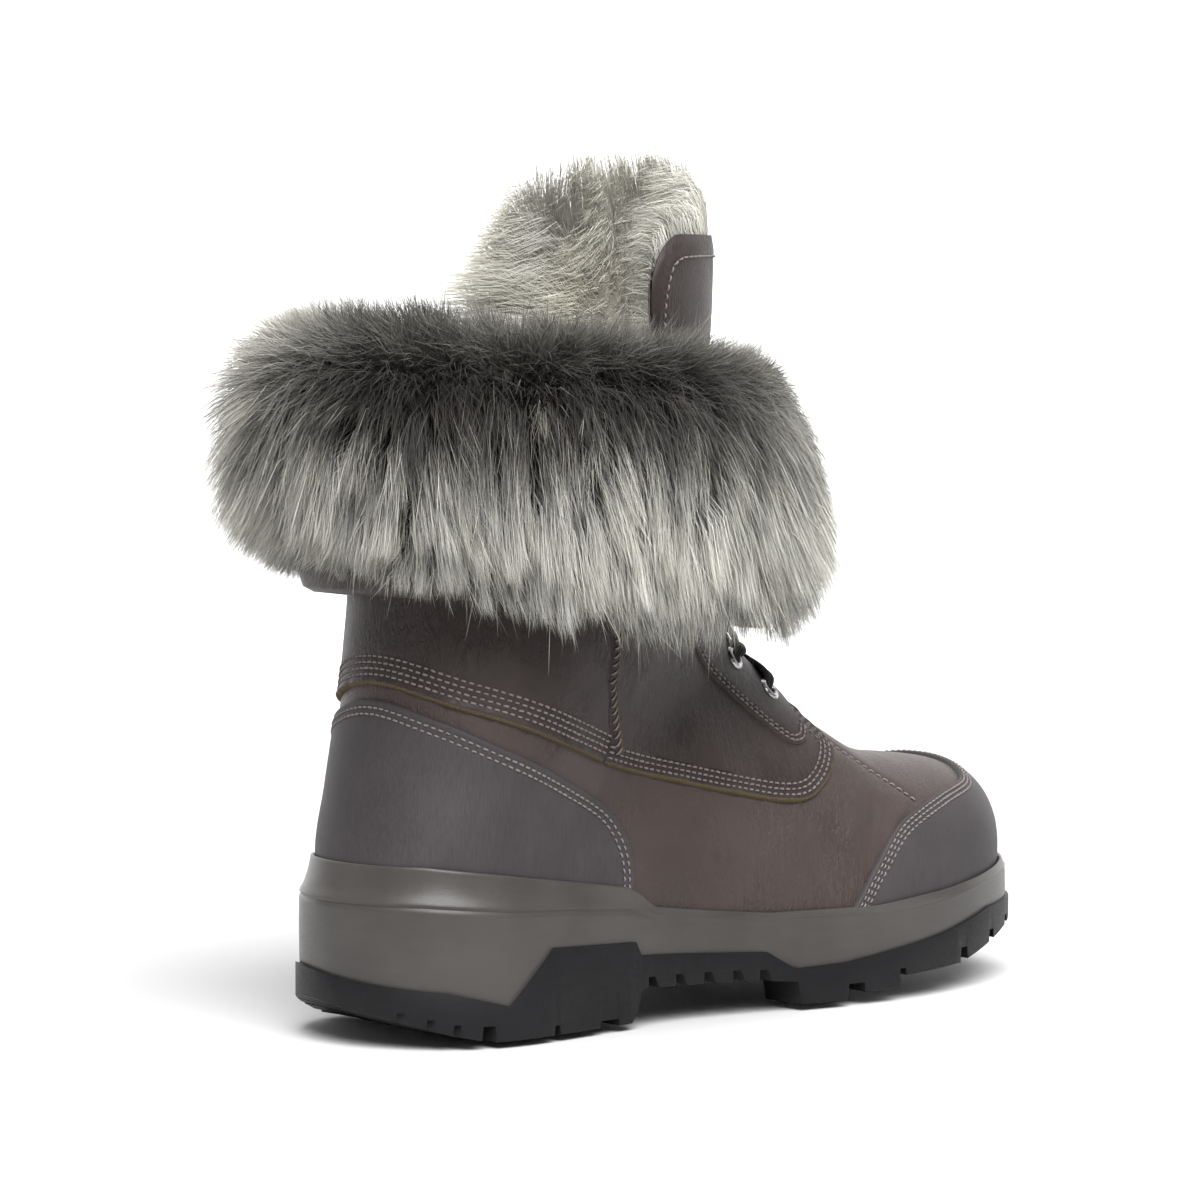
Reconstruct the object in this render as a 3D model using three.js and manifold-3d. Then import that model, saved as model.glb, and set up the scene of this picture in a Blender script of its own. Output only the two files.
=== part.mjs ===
// Snow boot for the right foot: moulded sole, fleece-lined leather upper, turned-down sheepskin cuff.
// Millimetres, +Z up. The boot is drawn with x from heel to toe, y towards the inner (medial) side
// and z up from the ground, and the whole group is then turned so that the toe points along -Y.

import * as THREE from "three";
import { mergeVertices } from "three/addons/utils/BufferGeometryUtils.js";
import Module from "manifold-3d";

const wasm = await Module();
wasm.setup();

// ---------------------------------------------------------------- driving dimensions

const SOLE_LENGTH = 292;
const GAP = 0.3; // left between pieces that touch
const WALL = 5.5; // leather and the fleece pressed against it
const OVERLAY = 1.4; // heel counter and toe cap
const MIDSOLE_INSET = 1.2; // the rubber outsole stands this far proud of the midsole
const INSOLE_THICKNESS = 4;
const RIM_HEIGHT = 196; // top edge of the upper, where the cuff turns over
const CUFF_TILT = 0.13; // the cuff's lower edge drops towards the toe
const CUFF_OPENING = 26; // degrees each side of the front
const CUFF_FOOT = 120; // nominal height of its lower edge
const CUFF_LEVEL_X = 100; // where along the boot the tilt leaves that height as it is
const CUFF_BACK = -24; // how far behind the heel it reaches
const LACE_RADIUS = 1.7;
const LACE_SIDES = 6;
const EYELET = { hole: 2.1, outer: 4.2, height: 1.4, lift: 0.5 };
const THROAT = { bottomX: 183, endRadius: 7, halfWidth: 11.5, wideX: 166, backX: 105, floor: 60 };

// Plan outline of the sole: half widths to the outer (lateral) and inner (medial) side of the foot.
const SOLE_OUTLINE = [
  { x: 4, lateral: 18.5, medial: 18.5 },
  { x: 14, lateral: 32.5, medial: 32.5 },
  { x: 28, lateral: 41, medial: 41 },
  { x: 46, lateral: 44.5, medial: 44.5 },
  { x: 79, lateral: 43, medial: 41 },
  { x: 112, lateral: 42, medial: 38 },
  { x: 145, lateral: 47.5, medial: 40 },
  { x: 177, lateral: 53.5, medial: 45.5 },
  { x: 209, lateral: 55, medial: 49.5 },
  { x: 242, lateral: 48.5, medial: 49 },
  { x: 270, lateral: 34.5, medial: 41 },
  { x: 286, lateral: 15, medial: 27 },
];
const TOE_TIP_SIDE = 7; // the toe's foremost point lies this far to the medial side

// Seam between midsole and outsole, with the rubber wing that climbs the waist.
const SEAM = [
  { x: -5, z: 21 },
  { x: 2, z: 21 },
  { x: 18, z: 15.6 },
  { x: 37, z: 10.5 },
  { x: 54, z: 27 },
  { x: 90, z: 25.4 },
  { x: 92.5, z: 20.9 },
  { x: 143, z: 17.8 },
  { x: 154, z: 11.5 },
  { x: 174, z: 12.2 },
  { x: 195, z: 15 },
  { x: 218, z: 17.9 },
  { x: 248, z: 23.4 },
  { x: 300, z: 24.5 },
];

// Underside of the outsole: heel bevel, heel, arch, ball and toe spring.
const GROUND = [
  { x: -5, z: 9.2 },
  { x: 2, z: 9.2 },
  { x: 13, z: 5 },
  { x: 22, z: 1.8 },
  { x: 30, z: 0 },
  { x: 88, z: 0 },
  { x: 91, z: 4 },
  { x: 92.5, z: 11.8 },
  { x: 138, z: 9.8 },
  { x: 156, z: 6 },
  { x: 158, z: 0 },
  { x: 184, z: 0 },
  { x: 197, z: 1.5 },
  { x: 212, z: 4 },
  { x: 231, z: 7.2 },
  { x: 243, z: 9.8 },
  { x: 273, z: 15.8 },
  { x: 300, z: 17.5 },
];

// Grooves across the tread: position, half width, depth, how far they lean forward at the centre.
const TREAD_GROOVES = [
  { x: 14, half: 0.9, top: 7.5, lean: 0 },
  { x: 21, half: 0.9, top: 5.5, lean: 0 },
  { x: 30, half: 2.2, top: 4.5, lean: 4 },
  { x: 47, half: 2, top: 3.5, lean: 4 },
  { x: 64, half: 2, top: 3.5, lean: 4 },
  { x: 79, half: 1.8, top: 3.5, lean: 4 },
  { x: 179, half: 3.4, top: 5, lean: 7 },
  { x: 199, half: 2.6, top: 6.5, lean: 7 },
  { x: 217, half: 2.2, top: 9, lean: 7 },
  { x: 236, half: 3.6, top: 12.5, lean: 6 },
  { x: 254, half: 2.2, top: 15.5, lean: 5 },
  { x: 271, half: 2.2, top: 18.5, lean: 4 },
];
// Grooves along the tread.
const TREAD_CHANNELS = [
  { fromX: 34, toX: 86, y: 0, half: 9, top: 2.6 },
  { fromX: 162, toX: 232, y: -17, half: 2.2, top: 5 },
  { fromX: 162, toX: 232, y: 15, half: 2.2, top: 5 },
];
const ARCH_RIBS = { count: 5, firstX: 98, pitch: 8.6, width: 5, bottom: 8.2, top: 13 };

// Top edge of the midsole, the ledge below it round the heel, and how far the top edge steps in.
const MIDSOLE = [
  { x: -5, ledge: 43, top: 53.6, stepIn: 7 },
  { x: 12, ledge: 42.6, top: 53.6, stepIn: 7 },
  { x: 38, ledge: 40.4, top: 50.3, stepIn: 6.5 },
  { x: 62, ledge: 39, top: 46.8, stepIn: 6 },
  { x: 88, ledge: 36.5, top: 42.8, stepIn: 5.5 },
  { x: 94, ledge: 35, top: 40, stepIn: 5 },
  { x: 100, ledge: 33, top: 35.6, stepIn: 4 },
  { x: 123, ledge: 30, top: 32.5, stepIn: 3.5 },
  { x: 145, ledge: 27.5, top: 30, stepIn: 3.5 },
  { x: 188, ledge: 26.6, top: 29.2, stepIn: 3.5 },
  { x: 224, ledge: 29, top: 32, stepIn: 3 },
  { x: 252, ledge: 32.4, top: 35.2, stepIn: 2.5 },
  { x: 272, ledge: 34.6, top: 37.4, stepIn: 2 },
  { x: 300, ledge: 34.6, top: 37.4, stepIn: 2 },
];

// Floor of the cup that the upper stands in.
const FOOTBED = [
  { x: -5, z: 34 },
  { x: 60, z: 32 },
  { x: 92, z: 29.5 },
  { x: 110, z: 27.5 },
  { x: 146, z: 22.5 },
  { x: 165, z: 20 },
  { x: 195, z: 20 },
  { x: 215, z: 21.8 },
  { x: 235, z: 24.6 },
  { x: 255, z: 28 },
  { x: 300, z: 31 },
];

// The last: sections that stand upright at the toe and lean back until they lie level in the shaft.
// Each runs from a low point (sole or heel side) to a high point (instep or front side). lateral and
// medial are its edges from the centre line, widest is how far the widest place is from the low
// point, and the two powers make each half rounder (2) or squarer (4).
const LAST_COLUMNS = [
  "lowX", "lowZ", "highX", "highZ", "lateral", "medial", "widest", "lowPower", "highPower",
];
const LAST = [
  [286.5, 22, 286, 44, -7, 7, 16, 3, 2],
  [284.7, 21, 284, 52, 5, 19, 18, 3.2, 2],
  [279.5, 19, 279, 60.5, 15.5, 28.5, 21, 3.4, 2.1],
  [271, 16, 271, 67, 26.5, 36, 25, 3.6, 2.2],
  [259, 13, 260, 70.5, 36, 42, 29, 3.8, 2.3],
  [244, 10, 246, 72.5, 43, 45.5, 32, 4, 2.4],
  [226, 8, 228, 74.5, 47.5, 47, 34, 4, 2.3],
  [203, 8, 211, 79, 49, 46.5, 34, 4, 2.1],
  [172, 9, 198, 86.5, 48, 43.5, 34, 4, 2],
  [135, 12, 186, 95, 43.5, 40, 36, 4, 1.95],
  [95, 16, 175, 104.5, 40, 38, 40, 3.6, 1.95],
  [52, 19, 165, 114, 38.5, 37.5, 44, 3, 2],
  [18, 22, 157.5, 125, 37, 36.5, 48, 2.4, 2.1],
  [9, 46, 153, 138, 38.5, 38.5, 50, 2.2, 2.2],
  [12.5, 68, 151.5, 150, 41.5, 41.5, 54, 2.1, 2.2],
  [17, 90, 151.5, 161, 44, 44, 58, 2.1, 2.1],
  [20, 112, 152, 171, 45, 45, 61, 2.1, 2.1],
  [21.5, 136, 153, 180, 45, 45, 64, 2.1, 2.1],
  [21, 162, 154.5, 188, 45, 45, 66, 2.1, 2.1],
  [20, 190, 156, 200, 45.5, 45.5, 68, 2.1, 2.1],
  [19, 216, 159, 216, 46.5, 46.5, 70, 2.1, 2.1],
  [18, 240, 160, 240, 47, 47, 72, 2.1, 2.1],
  [17, 264, 161, 264, 47.5, 47.5, 74, 2.1, 2.1],
].map((row) => Object.fromEntries(LAST_COLUMNS.map((key, i) => [key, row[i]])));
const SECTION_STEP = 0.5;
const SHAFT_STEP = 1; // above the ankle the sections are further apart
const SHAFT_FROM = 14;
const SECTION_SIDES = 28;

// Side view of the heel counter's and the toe cap's edges.
const HEEL_COUNTER_EDGE = [
  { x: -20, z: 104 },
  { x: 10, z: 103.5 },
  { x: 20, z: 101.5 },
  { x: 38, z: 90 },
  { x: 62, z: 79 },
  { x: 80, z: 69.6 },
  { x: 87.5, z: 62 },
  { x: 91.5, z: 51.6 },
  { x: 92.5, z: 30 },
];
const TOE_CAP_EDGE = [
  { x: 183, z: 28 },
  { x: 190.5, z: 41.5 },
  { x: 199.5, z: 52 },
  { x: 210, z: 57.5 },
  { x: 229, z: 62 },
  { x: 252, z: 64.4 },
  { x: 259, z: 67 },
  { x: 262, z: 90 },
];

// The cuff's cross-section, as distance out from the shaft at the back and at the front, and height.
const CUFF_PROFILE = [
  { back: -5.5, front: -5.5, z: 196.4 },
  { back: 2.5, front: 2.5, z: 196.4 },
  { back: 6, front: 6, z: 201 },
  { back: 11, front: 10, z: 199 },
  { back: 14, front: 12, z: 190 },
  { back: 15, front: 13, z: 130 },
  { back: 20, front: 17, z: 125 },
  { back: 31, front: 24, z: 123 },
  { back: 40, front: 31, z: 130 },
  { back: 44, front: 33, z: 147 },
  { back: 45, front: 29, z: 168 },
  { back: 43, front: 25, z: 188 },
  { back: 37, front: 20, z: 206 },
  { back: 25, front: 13, z: 218 },
  { back: 10, front: 5, z: 222 },
  { back: -2, front: -2, z: 217 },
  { back: -5.5, front: -5.5, z: 206 },
];
const CUFF_STEPS = 32;

// The tongue, from the throat up: place along the last, half width round it in degrees, thickness,
// and how far its outer face leans in where the fleece rises past the leather.
const TONGUE = [
  { along: 7.8, spread: 24, thick: 4, lean: 0 },
  { along: 9, spread: 30, thick: 5, lean: 0 },
  { along: 10.5, spread: 34, thick: 6, lean: 0 },
  { along: 12, spread: 36, thick: 7, lean: 0 },
  { along: 14, spread: 40, thick: 8, lean: 0 },
  { along: 16, spread: 46, thick: 10, lean: 0 },
  { along: 18, spread: 56, thick: 13, lean: 0 },
  { along: 19, spread: 68, thick: 17, lean: 0 },
  { along: 20, spread: 80, thick: 20, lean: 0 },
  { along: 20.9, spread: 84, thick: 21, lean: 0 },
  { along: 21.35, spread: 80, thick: 18, lean: 1.5 },
  { along: 21.65, spread: 72, thick: 13, lean: 5 },
  { along: 21.85, spread: 60, thick: 7, lean: 8.5 },
];
const TONGUE_COLUMNS = 12;
const TONGUE_GAP = 2.2; // between the tongue and the upper's lining
const TONGUE_EDGE_TAPER = 0.55; // how much thinner its two side edges are
const TONGUE_CORNER_DROP = 0.8; // how much lower its two top corners are, in sections

// Eyelets: place along the last. They sit this many degrees round from the front of the section.
const EYELET_ROWS = [9.94, 11.2, 12.7, 14.3, 16];
const EYELET_ANGLE = 26;

// ---------------------------------------------------------------- numbers and shapes

function valueAt(table, key, x) {
  const last = table.length - 1;
  if (x <= table[0].x) return table[0][key];
  if (x >= table[last].x) return table[last][key];
  const i = table.findIndex((row) => row.x > x);
  const t = (x - table[i - 1].x) / (table[i].x - table[i - 1].x);
  return THREE.MathUtils.lerp(table[i - 1][key], table[i][key], t);
}

// Smooth curve through four neighbouring values.
function spline(a, b, c, d, t) {
  const slope = c - a;
  const bend = 2 * a - 5 * b + 4 * c - d;
  return 0.5 * (2 * b + slope * t + bend * t * t + (3 * b - a - 3 * c + d) * t * t * t);
}

function solidFrom(geometry) {
  geometry.deleteAttribute("normal");
  geometry.deleteAttribute("uv");
  const merged = mergeVertices(geometry);
  const vertProperties = new Float32Array(merged.attributes.position.array);
  const triVerts = new Uint32Array(merged.index.array);
  return new wasm.Manifold(new wasm.Mesh({ numProp: 3, vertProperties, triVerts }));
}

// A closed skin through rings of points. contour is a ring's flat outline and says how its two caps
// are filled. A first ring that is folded flat needs no cap.
function loft(rings, contour, capStart = true) {
  const sides = rings[0].length;
  const positions = rings.flat().flatMap((p) => [p.x, p.y, p.z]);
  const index = [];
  for (let r = 0; r < rings.length - 1; r += 1) {
    for (let i = 0; i < sides; i += 1) {
      const a = r * sides + i;
      const b = r * sides + ((i + 1) % sides);
      index.push(a, a + sides, b, b, a + sides, b + sides);
    }
  }
  const faces = THREE.ShapeUtils.triangulateShape(contour, []);
  const clockwise = THREE.ShapeUtils.area(contour) < 0;
  const last = (rings.length - 1) * sides;
  for (const [a, b, c] of faces) {
    const [p, q] = clockwise ? [c, b] : [b, c];
    if (capStart) index.push(a, p, q);
    index.push(last + a, last + q, last + p);
  }
  return closedSolid(positions, index);
}

// Merges the points, drops triangles folded to nothing and turns the faces outwards.
function closedSolid(positions, index) {
  const geometry = new THREE.BufferGeometry();
  geometry.setAttribute("position", new THREE.Float32BufferAttribute(positions, 3));
  geometry.setIndex(index);
  const merged = mergeVertices(geometry, 1e-3);
  const order = merged.index.array;
  const kept = [];
  let volume = 0;
  const corner = [new THREE.Vector3(), new THREE.Vector3(), new THREE.Vector3()];
  for (let i = 0; i < order.length; i += 3) {
    const [a, b, c] = [order[i], order[i + 1], order[i + 2]];
    if (a === b || b === c || c === a) continue;
    kept.push([a, b, c]);
    [a, b, c].forEach((v, k) => corner[k].fromBufferAttribute(merged.attributes.position, v));
    volume += corner[0].dot(corner[1].clone().cross(corner[2]));
  }
  merged.setIndex(kept.flatMap(([a, b, c]) => (volume > 0 ? [a, b, c] : [a, c, b])));
  return solidFrom(merged);
}

// A prism across the boot from a side view given as [x, z] points.
function sidePrism(points) {
  const shape = new THREE.Shape(points.map(([x, z]) => new THREE.Vector2(x, z)));
  const reach = 150;
  const geometry = new THREE.ExtrudeGeometry(shape, { depth: 2 * reach, bevelEnabled: false });
  geometry.rotateX(Math.PI / 2);
  geometry.translate(0, reach, 0);
  return solidFrom(geometry);
}

// A prism standing up from a plan view given as [x, y] points.
function planPrism(points, bottom, top) {
  const shape = new THREE.Shape(points.map(([x, y]) => new THREE.Vector2(x, y)));
  const geometry = new THREE.ExtrudeGeometry(shape, { depth: top - bottom, bevelEnabled: false });
  geometry.translate(0, 0, bottom);
  return solidFrom(geometry);
}

// Everything above (or below) a curve in the side view.
function sideOf(table, key, shift, farZ) {
  const line = table.map((row) => [row.x, row[key] + shift]);
  const first = line[0];
  const end = line[line.length - 1];
  return sidePrism([[first[0] - 60, farZ], [first[0] - 60, first[1]], ...line,
    [end[0] + 60, end[1]], [end[0] + 60, farZ]]);
}

// ---------------------------------------------------------------- sole outline

const outlineCurve = new THREE.CatmullRomCurve3(
  [
    new THREE.Vector3(0, 0, 0),
    ...SOLE_OUTLINE.map((row) => new THREE.Vector3(row.x, -row.lateral, 0)),
    new THREE.Vector3(SOLE_LENGTH, TOE_TIP_SIDE, 0),
    ...[...SOLE_OUTLINE].reverse().map((row) => new THREE.Vector3(row.x, row.medial, 0)),
  ],
  true,
  "centripetal",
);

// Points round the sole, each moved in by an amount that may depend on x.
function outline(stepIn, count = 64) {
  const points = [];
  for (let i = 0; i < count; i += 1) {
    const t = i / count;
    const p = outlineCurve.getPoint(t);
    const tangent = outlineCurve.getTangent(t);
    const inward = new THREE.Vector3(-tangent.y, tangent.x, 0);
    points.push(p.addScaledVector(inward, stepIn(p.x)));
  }
  return points;
}

const flat = (points) => points.map((p) => [p.x, p.y]);

// ---------------------------------------------------------------- the last

// One section of the last; sections before the toe tip mirror those after it.
function section(along) {
  const u = Math.abs(along);
  const i = Math.min(Math.floor(u), LAST.length - 2);
  const t = u - i;
  const row = (k) => LAST[Math.min(Math.max(k, 0), LAST.length - 1)];
  const values = {};
  for (const key of Object.keys(LAST[0])) {
    const before = i === 0 ? mirrored(key) : row(i - 1)[key];
    const after = i + 2 < LAST.length ? row(i + 2)[key] : 2 * row(i + 1)[key] - row(i)[key];
    values[key] = spline(before, row(i)[key], row(i + 1)[key], after, t);
  }
  values.middle = (values.medial - values.lateral) / 2;
  values.half = ((values.medial + values.lateral) / 2) * (along < 0 ? -1 : 1);
  return values;
}

function mirrored(key) {
  const next = LAST[1];
  if (key === "lateral") return -next.medial;
  if (key === "medial") return -next.lateral;
  return next[key];
}

// A point on the last. angle 0 is the low point, 90 the lateral side, 180 the high point.
function lastPoint(along, angle) {
  const s = section(along);
  const turn = THREE.MathUtils.degToRad(angle);
  const up = -Math.cos(turn);
  const side = Math.sin(turn);
  const power = 2 / (up < 0 ? s.lowPower : s.highPower);
  const dx = s.highX - s.lowX;
  const dz = s.highZ - s.lowZ;
  const length = Math.hypot(dx, dz);
  const rise = Math.abs(up) ** power;
  const distance = up < 0 ? s.widest * (1 - rise) : s.widest + (length - s.widest) * rise;
  const across = s.half * Math.sign(side) * Math.abs(side) ** power;
  return new THREE.Vector3(
    s.lowX + (dx * distance) / length,
    s.middle - across,
    s.lowZ + (dz * distance) / length,
  );
}

function lastNormal(along, angle) {
  if (along === 0) return lastNormal(0.1, angle).add(lastNormal(0.1, 360 - angle)).normalize();
  const step = 0.04;
  const turn = 2.3;
  const forward = lastPoint(along + step, angle).sub(lastPoint(along - step, angle));
  const round = lastPoint(along, angle + turn).sub(lastPoint(along, angle - turn));
  return round.cross(forward).normalize();
}

// A point at a distance from the last, out along its normal.
function offsetPoint(along, angle, distance) {
  return lastPoint(along, angle).addScaledVector(lastNormal(along, angle), distance);
}

// The last as a solid, grown by a distance, between two of its sections.
function grownLast(distance, from, to) {
  const rings = [];
  for (let along = from; along <= to; along += along < SHAFT_FROM ? SECTION_STEP : SHAFT_STEP) {
    const ring = [];
    for (let i = 0; i < SECTION_SIDES; i += 1) {
      ring.push(offsetPoint(along, (360 * i) / SECTION_SIDES, distance));
    }
    rings.push(ring);
  }
  const circle = rings[0].map((_, i) => {
    const turn = (2 * Math.PI * i) / SECTION_SIDES;
    return new THREE.Vector2(Math.cos(turn), Math.sin(turn));
  });
  return loft(rings, circle, from > 0);
}

// ---------------------------------------------------------------- sole

function outsole() {
  const body = planPrism(flat(outline(() => 0)), -5, 60)
    .intersect(sideOf(GROUND, "z", 0, 100))
    .intersect(sideOf(SEAM, "z", 0, -50));
  const reach = 70;
  let tread = body;
  for (const g of TREAD_GROOVES) {
    const tip = g.x + g.lean;
    const plan = [[g.x - g.half, -reach], [g.x + g.half, -reach], [tip + g.half, 0],
      [g.x + g.half, reach], [g.x - g.half, reach], [tip - g.half, 0]];
    tread = tread.subtract(planPrism(plan, -10, g.top));
  }
  for (const c of TREAD_CHANNELS) {
    const plan = [[c.fromX, c.y - c.half], [c.toX, c.y - c.half], [c.toX, c.y + c.half],
      [c.fromX, c.y + c.half]];
    tread = tread.subtract(planPrism(plan, -10, c.top));
  }
  for (let i = 0; i < ARCH_RIBS.count; i += 1) {
    const x = ARCH_RIBS.firstX + i * ARCH_RIBS.pitch;
    const plan = [[x, -reach], [x + ARCH_RIBS.width, -reach], [x + ARCH_RIBS.width, reach], [x, reach]];
    const rib = planPrism(plan, ARCH_RIBS.bottom - 0.4 * i, ARCH_RIBS.top);
    tread = tread.add(rib.intersect(planPrism(flat(outline(() => 0.8)), -5, 60)));
  }
  return tread;
}

const cupSolid = grownLast(GAP, 0, 17);
const aboveFootbed = sideOf(FOOTBED, "z", 0, 150);

function midsole() {
  const levels = [
    { key: "ledge", drop: 60, in: 0 },
    { key: "ledge", drop: 0, in: 0 },
    { key: "ledge", drop: -1.2, in: 0.45 },
    { key: "top", drop: 1.2, in: 0.9 },
    { key: "top", drop: 0, in: 1 },
  ];
  const rings = levels.map((level) => {
    const ring = outline((x) => MIDSOLE_INSET + level.in * valueAt(MIDSOLE, "stepIn", x));
    ring.forEach((p) => {
      p.z = valueAt(MIDSOLE, level.key, p.x) - level.drop;
    });
    return ring;
  });
  return loft(rings, rings[0].map((p) => new THREE.Vector2(p.x, p.y)))
    .intersect(sideOf(SEAM, "z", GAP, 100))
    .intersect(sideOf(MIDSOLE, "top", 0, -100))
    .subtract(cupSolid.intersect(aboveFootbed));
}

function insole() {
  const bottom = sideOf(FOOTBED, "z", GAP, 150);
  const top = sideOf(FOOTBED, "z", GAP + INSOLE_THICKNESS, -100);
  return grownLast(-WALL - GAP, 0, 16).intersect(bottom).intersect(top);
}

// ---------------------------------------------------------------- upper

function throatCutter() {
  const { bottomX, endRadius, halfWidth, wideX, backX, floor } = THROAT;
  const round = [];
  for (let i = 0; i <= 8; i += 1) {
    const turn = -Math.PI / 2 + (Math.PI * i) / 8;
    round.push([bottomX + endRadius * Math.cos(turn), endRadius * Math.sin(turn)]);
  }
  const plan = [[backX, -halfWidth], [wideX, -halfWidth], ...round, [wideX, halfWidth], [backX, halfWidth]];
  return planPrism(plan, floor, 300);
}

function upper() {
  const belowRim = sidePrism([[-60, -20], [360, -20], [360, RIM_HEIGHT], [-60, RIM_HEIGHT]]);
  return grownLast(0, 0, 21)
    .intersect(belowRim)
    .subtract(grownLast(-WALL, 0, 21.5))
    .intersect(sideOf(FOOTBED, "z", GAP, 250))
    .subtract(throatCutter());
}

function heelCounter() {
  const front = HEEL_COUNTER_EDGE[HEEL_COUNTER_EDGE.length - 1].x;
  const region = sidePrism([[-60, 20], ...HEEL_COUNTER_EDGE.map((p) => [p.x, p.z]), [front, 20]]);
  return grownLast(GAP + OVERLAY, 10, 17)
    .subtract(grownLast(GAP, 9.5, 17.5))
    .intersect(region)
    .intersect(sideOf(MIDSOLE, "top", GAP, 200));
}

function toeCap() {
  const region = sidePrism([...TOE_CAP_EDGE.map((p) => [p.x, p.z]), [340, 90], [340, 20], [183, 20]]);
  return grownLast(GAP + OVERLAY, 0, 9)
    .subtract(grownLast(GAP, 0, 9.5))
    .intersect(region)
    .intersect(sideOf(MIDSOLE, "top", GAP, 200));
}

// ---------------------------------------------------------------- cuff

// The shaft's level outline at a height: centre, half length and half width.
function shaftAt(z) {
  const rows = LAST.filter((row) => row.lowZ >= 162).map((row) => ({
    x: (row.lowZ + row.highZ) / 2,
    back: row.lowX,
    front: row.highX,
    half: row.lateral,
  }));
  return {
    back: valueAt(rows, "back", z),
    front: valueAt(rows, "front", z),
    half: valueAt(rows, "half", z),
  };
}

// A point out from the shaft; angle 0 is the front and it turns towards the lateral side.
function cuffPoint(angle, row) {
  const turn = THREE.MathUtils.degToRad(angle);
  const shaft = shaftAt(row.z);
  const halfLength = (shaft.front - shaft.back) / 2;
  const frontness = (1 + Math.cos(turn)) / 2;
  const out = THREE.MathUtils.lerp(row.back, row.front, frontness);
  const outward = new THREE.Vector2(Math.cos(turn) * shaft.half, Math.sin(turn) * halfLength).normalize();
  const x = (shaft.front + shaft.back) / 2 + Math.cos(turn) * halfLength + outward.x * out;
  const y = -(Math.sin(turn) * shaft.half + outward.y * out);
  const low = THREE.MathUtils.clamp((RIM_HEIGHT - row.z) / (RIM_HEIGHT - CUFF_FOOT), 0, 1);
  return new THREE.Vector3(x, y, row.z + low * CUFF_TILT * (CUFF_LEVEL_X - x));
}

function cuff() {
  const rings = [];
  for (let i = 0; i <= CUFF_STEPS; i += 1) {
    const angle = CUFF_OPENING + ((360 - 2 * CUFF_OPENING) * i) / CUFF_STEPS;
    rings.push(CUFF_PROFILE.map((row) => cuffPoint(angle, row)));
  }
  return loft(rings, CUFF_PROFILE.map((row) => new THREE.Vector2(row.back, row.z)));
}

// ---------------------------------------------------------------- tongue

function tongue() {
  const rings = TONGUE.map((row) => {
    const outer = [];
    const inner = [];
    for (let i = 0; i <= TONGUE_COLUMNS; i += 1) {
      const side = (2 * i) / TONGUE_COLUMNS - 1;
      const corner = row.along > 18 ? TONGUE_CORNER_DROP * side ** 4 * ((row.along - 18) / 4) : 0;
      const along = row.along - corner;
      const angle = 180 + row.spread * side;
      const thick = row.thick * (1 - TONGUE_EDGE_TAPER * side ** 4);
      const face = -WALL - TONGUE_GAP - row.lean;
      outer.push(offsetPoint(along, angle, face));
      inner.push(offsetPoint(along, angle, face - thick));
    }
    return [...outer, ...inner.reverse()];
  });
  const strip = rings[0].map((_, i) => {
    const column = i <= TONGUE_COLUMNS ? i : 2 * TONGUE_COLUMNS + 1 - i;
    return new THREE.Vector2(column, i <= TONGUE_COLUMNS ? 0 : 1);
  });
  return loft(rings, strip);
}

// ---------------------------------------------------------------- eyelets and lace

function eyeletGeometry() {
  const { hole, outer, height } = EYELET;
  const profile = [[hole, 0], [outer, 0], [outer, height * 0.6], [hole, height], [hole, 0]];
  const geometry = new THREE.LatheGeometry(profile.map(([r, z]) => new THREE.Vector2(r, z)), 10);
  geometry.rotateX(Math.PI / 2);
  return geometry;
}

function placeEyelet(mesh, along, angle) {
  mesh.position.copy(offsetPoint(along, angle, EYELET.lift));
  mesh.quaternion.setFromUnitVectors(new THREE.Vector3(0, 0, 1), lastNormal(along, angle));
}

// A stretch of lace over the throat, from one eyelet to another.
function laceStretch(fromAlong, fromAngle, toAlong, toAngle) {
  const points = [];
  const steps = 6;
  for (let i = 0; i <= steps; i += 1) {
    const t = i / steps;
    const along = THREE.MathUtils.lerp(fromAlong, toAlong, t);
    const angle = THREE.MathUtils.lerp(fromAngle, toAngle, t);
    points.push(offsetPoint(along, angle, EYELET.lift + EYELET.height + GAP + LACE_RADIUS));
  }
  const round = [];
  for (let i = 0; i < LACE_SIDES; i += 1) {
    const turn = (2 * Math.PI * i) / LACE_SIDES;
    round.push(new THREE.Vector2(LACE_RADIUS * Math.cos(turn), LACE_RADIUS * Math.sin(turn)));
  }
  const path = new THREE.CatmullRomCurve3(points);
  const settings = { steps, bevelEnabled: false, extrudePath: path };
  return solidFrom(new THREE.ExtrudeGeometry(new THREE.Shape(round), settings));
}

function lace() {
  const left = 180 - EYELET_ANGLE;
  const right = 180 + EYELET_ANGLE;
  let solid = laceStretch(EYELET_ROWS[0], left, EYELET_ROWS[0], right);
  for (let i = 0; i + 1 < EYELET_ROWS.length; i += 1) {
    solid = solid.add(laceStretch(EYELET_ROWS[i], left, EYELET_ROWS[i + 1], right));
    solid = solid.add(laceStretch(EYELET_ROWS[i], right, EYELET_ROWS[i + 1], left));
  }
  return solid;
}

// ---------------------------------------------------------------- assembly

function geometryOf(solid) {
  const mesh = solid.getMesh();
  const positions = new Float32Array((mesh.vertProperties.length / mesh.numProp) * 3);
  for (let i = 0; i < positions.length / 3; i += 1) {
    for (let k = 0; k < 3; k += 1) positions[3 * i + k] = mesh.vertProperties[i * mesh.numProp + k];
  }
  const geometry = new THREE.BufferGeometry();
  geometry.setAttribute("position", new THREE.BufferAttribute(positions, 3));
  geometry.setIndex(new THREE.BufferAttribute(new Uint32Array(mesh.triVerts), 1));
  return geometry;
}

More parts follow.
